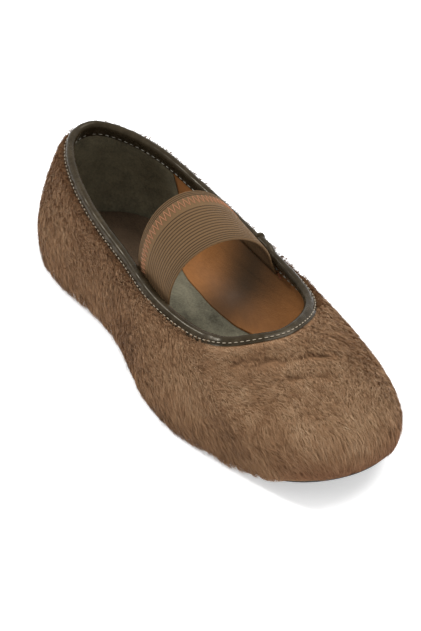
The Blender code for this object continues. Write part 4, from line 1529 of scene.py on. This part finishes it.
class FLAT_OT_make_strap(bpy.types.Operator):
    """Makes the ribbed elastic strap with its zigzag row"""
    bl_idname = "ballet_flat.make_strap"
    bl_label = "Strap"

    def execute(self, context):
        make_strap()
        return {"FINISHED"}


class FLAT_OT_make_insole(bpy.types.Operator):
    """Lays the suede insole"""
    bl_idname = "ballet_flat.make_insole"
    bl_label = "Insole"

    def execute(self, context):
        make_insole()
        return {"FINISHED"}


class FLAT_OT_make_heel_pad(bpy.types.Operator):
    """Lays the felt pad at the heel"""
    bl_idname = "ballet_flat.make_heel_pad"
    bl_label = "Heel pad"

    def execute(self, context):
        make_heel_pad()
        return {"FINISHED"}


class FLAT_OT_make_sole(bpy.types.Operator):
    """Moulds the rubber outsole and heel"""
    bl_idname = "ballet_flat.make_sole"
    bl_label = "Sole and heel"

    def execute(self, context):
        make_sole()
        return {"FINISHED"}


class FLAT_OT_set_stage(bpy.types.Operator):
    """Sets the floor, the lamps and the camera"""
    bl_idname = "ballet_flat.set_stage"
    bl_label = "Stage"

    def execute(self, context):
        set_stage()
        return {"FINISHED"}


OPERATORS = (
    FLAT_OT_make_skin, FLAT_OT_grow_plush, FLAT_OT_make_linings, FLAT_OT_make_binding,
    FLAT_OT_sew_binding, FLAT_OT_make_strap, FLAT_OT_make_insole, FLAT_OT_make_heel_pad,
    FLAT_OT_make_sole, FLAT_OT_set_stage,
)


class FLAT_PT_pieces(bpy.types.Panel):
    """Lists the shoe's pieces and their settings"""
    bl_idname = "FLAT_PT_pieces"
    bl_label = "Ballet flat"
    bl_space_type = "VIEW_3D"
    bl_region_type = "UI"
    bl_category = "Ballet flat"

    def draw(self, context):
        for maker in OPERATORS:
            self.layout.operator(maker.bl_idname)
        for group in SETTINGS:
            box = self.layout.box()
            owner = getattr(context.scene, group)
            for name in owner.bl_rna.properties.keys():
                if name not in ("rna_type", "name"):
                    box.prop(owner, name)


SETTINGS = {
    "plush_settings": PlushSettings,
    "trim_settings": TrimSettings,
    "lining_settings": LiningSettings,
    "sole_settings": SoleSettings,
    "stage_settings": StageSettings,
}


def register():
    for name, group in SETTINGS.items():
        bpy.utils.register_class(group)
        setattr(bpy.types.Scene, name, bpy.props.PointerProperty(type=group))
    for item in (*OPERATORS, FLAT_PT_pieces):
        bpy.utils.register_class(item)


def unregister():
    for item in (FLAT_PT_pieces, *reversed(OPERATORS)):
        bpy.utils.unregister_class(item)
    for name, group in SETTINGS.items():
        delattr(bpy.types.Scene, name)
        bpy.utils.unregister_class(group)


def main():
    register()
    flat = bpy.ops.ballet_flat
    flat.make_skin()
    flat.grow_plush()
    flat.make_linings()
    flat.make_binding()
    flat.sew_binding()
    flat.make_strap()
    flat.make_insole()
    flat.make_heel_pad()
    flat.make_sole()
    flat.set_stage()


if __name__ == "__main__":
    main()
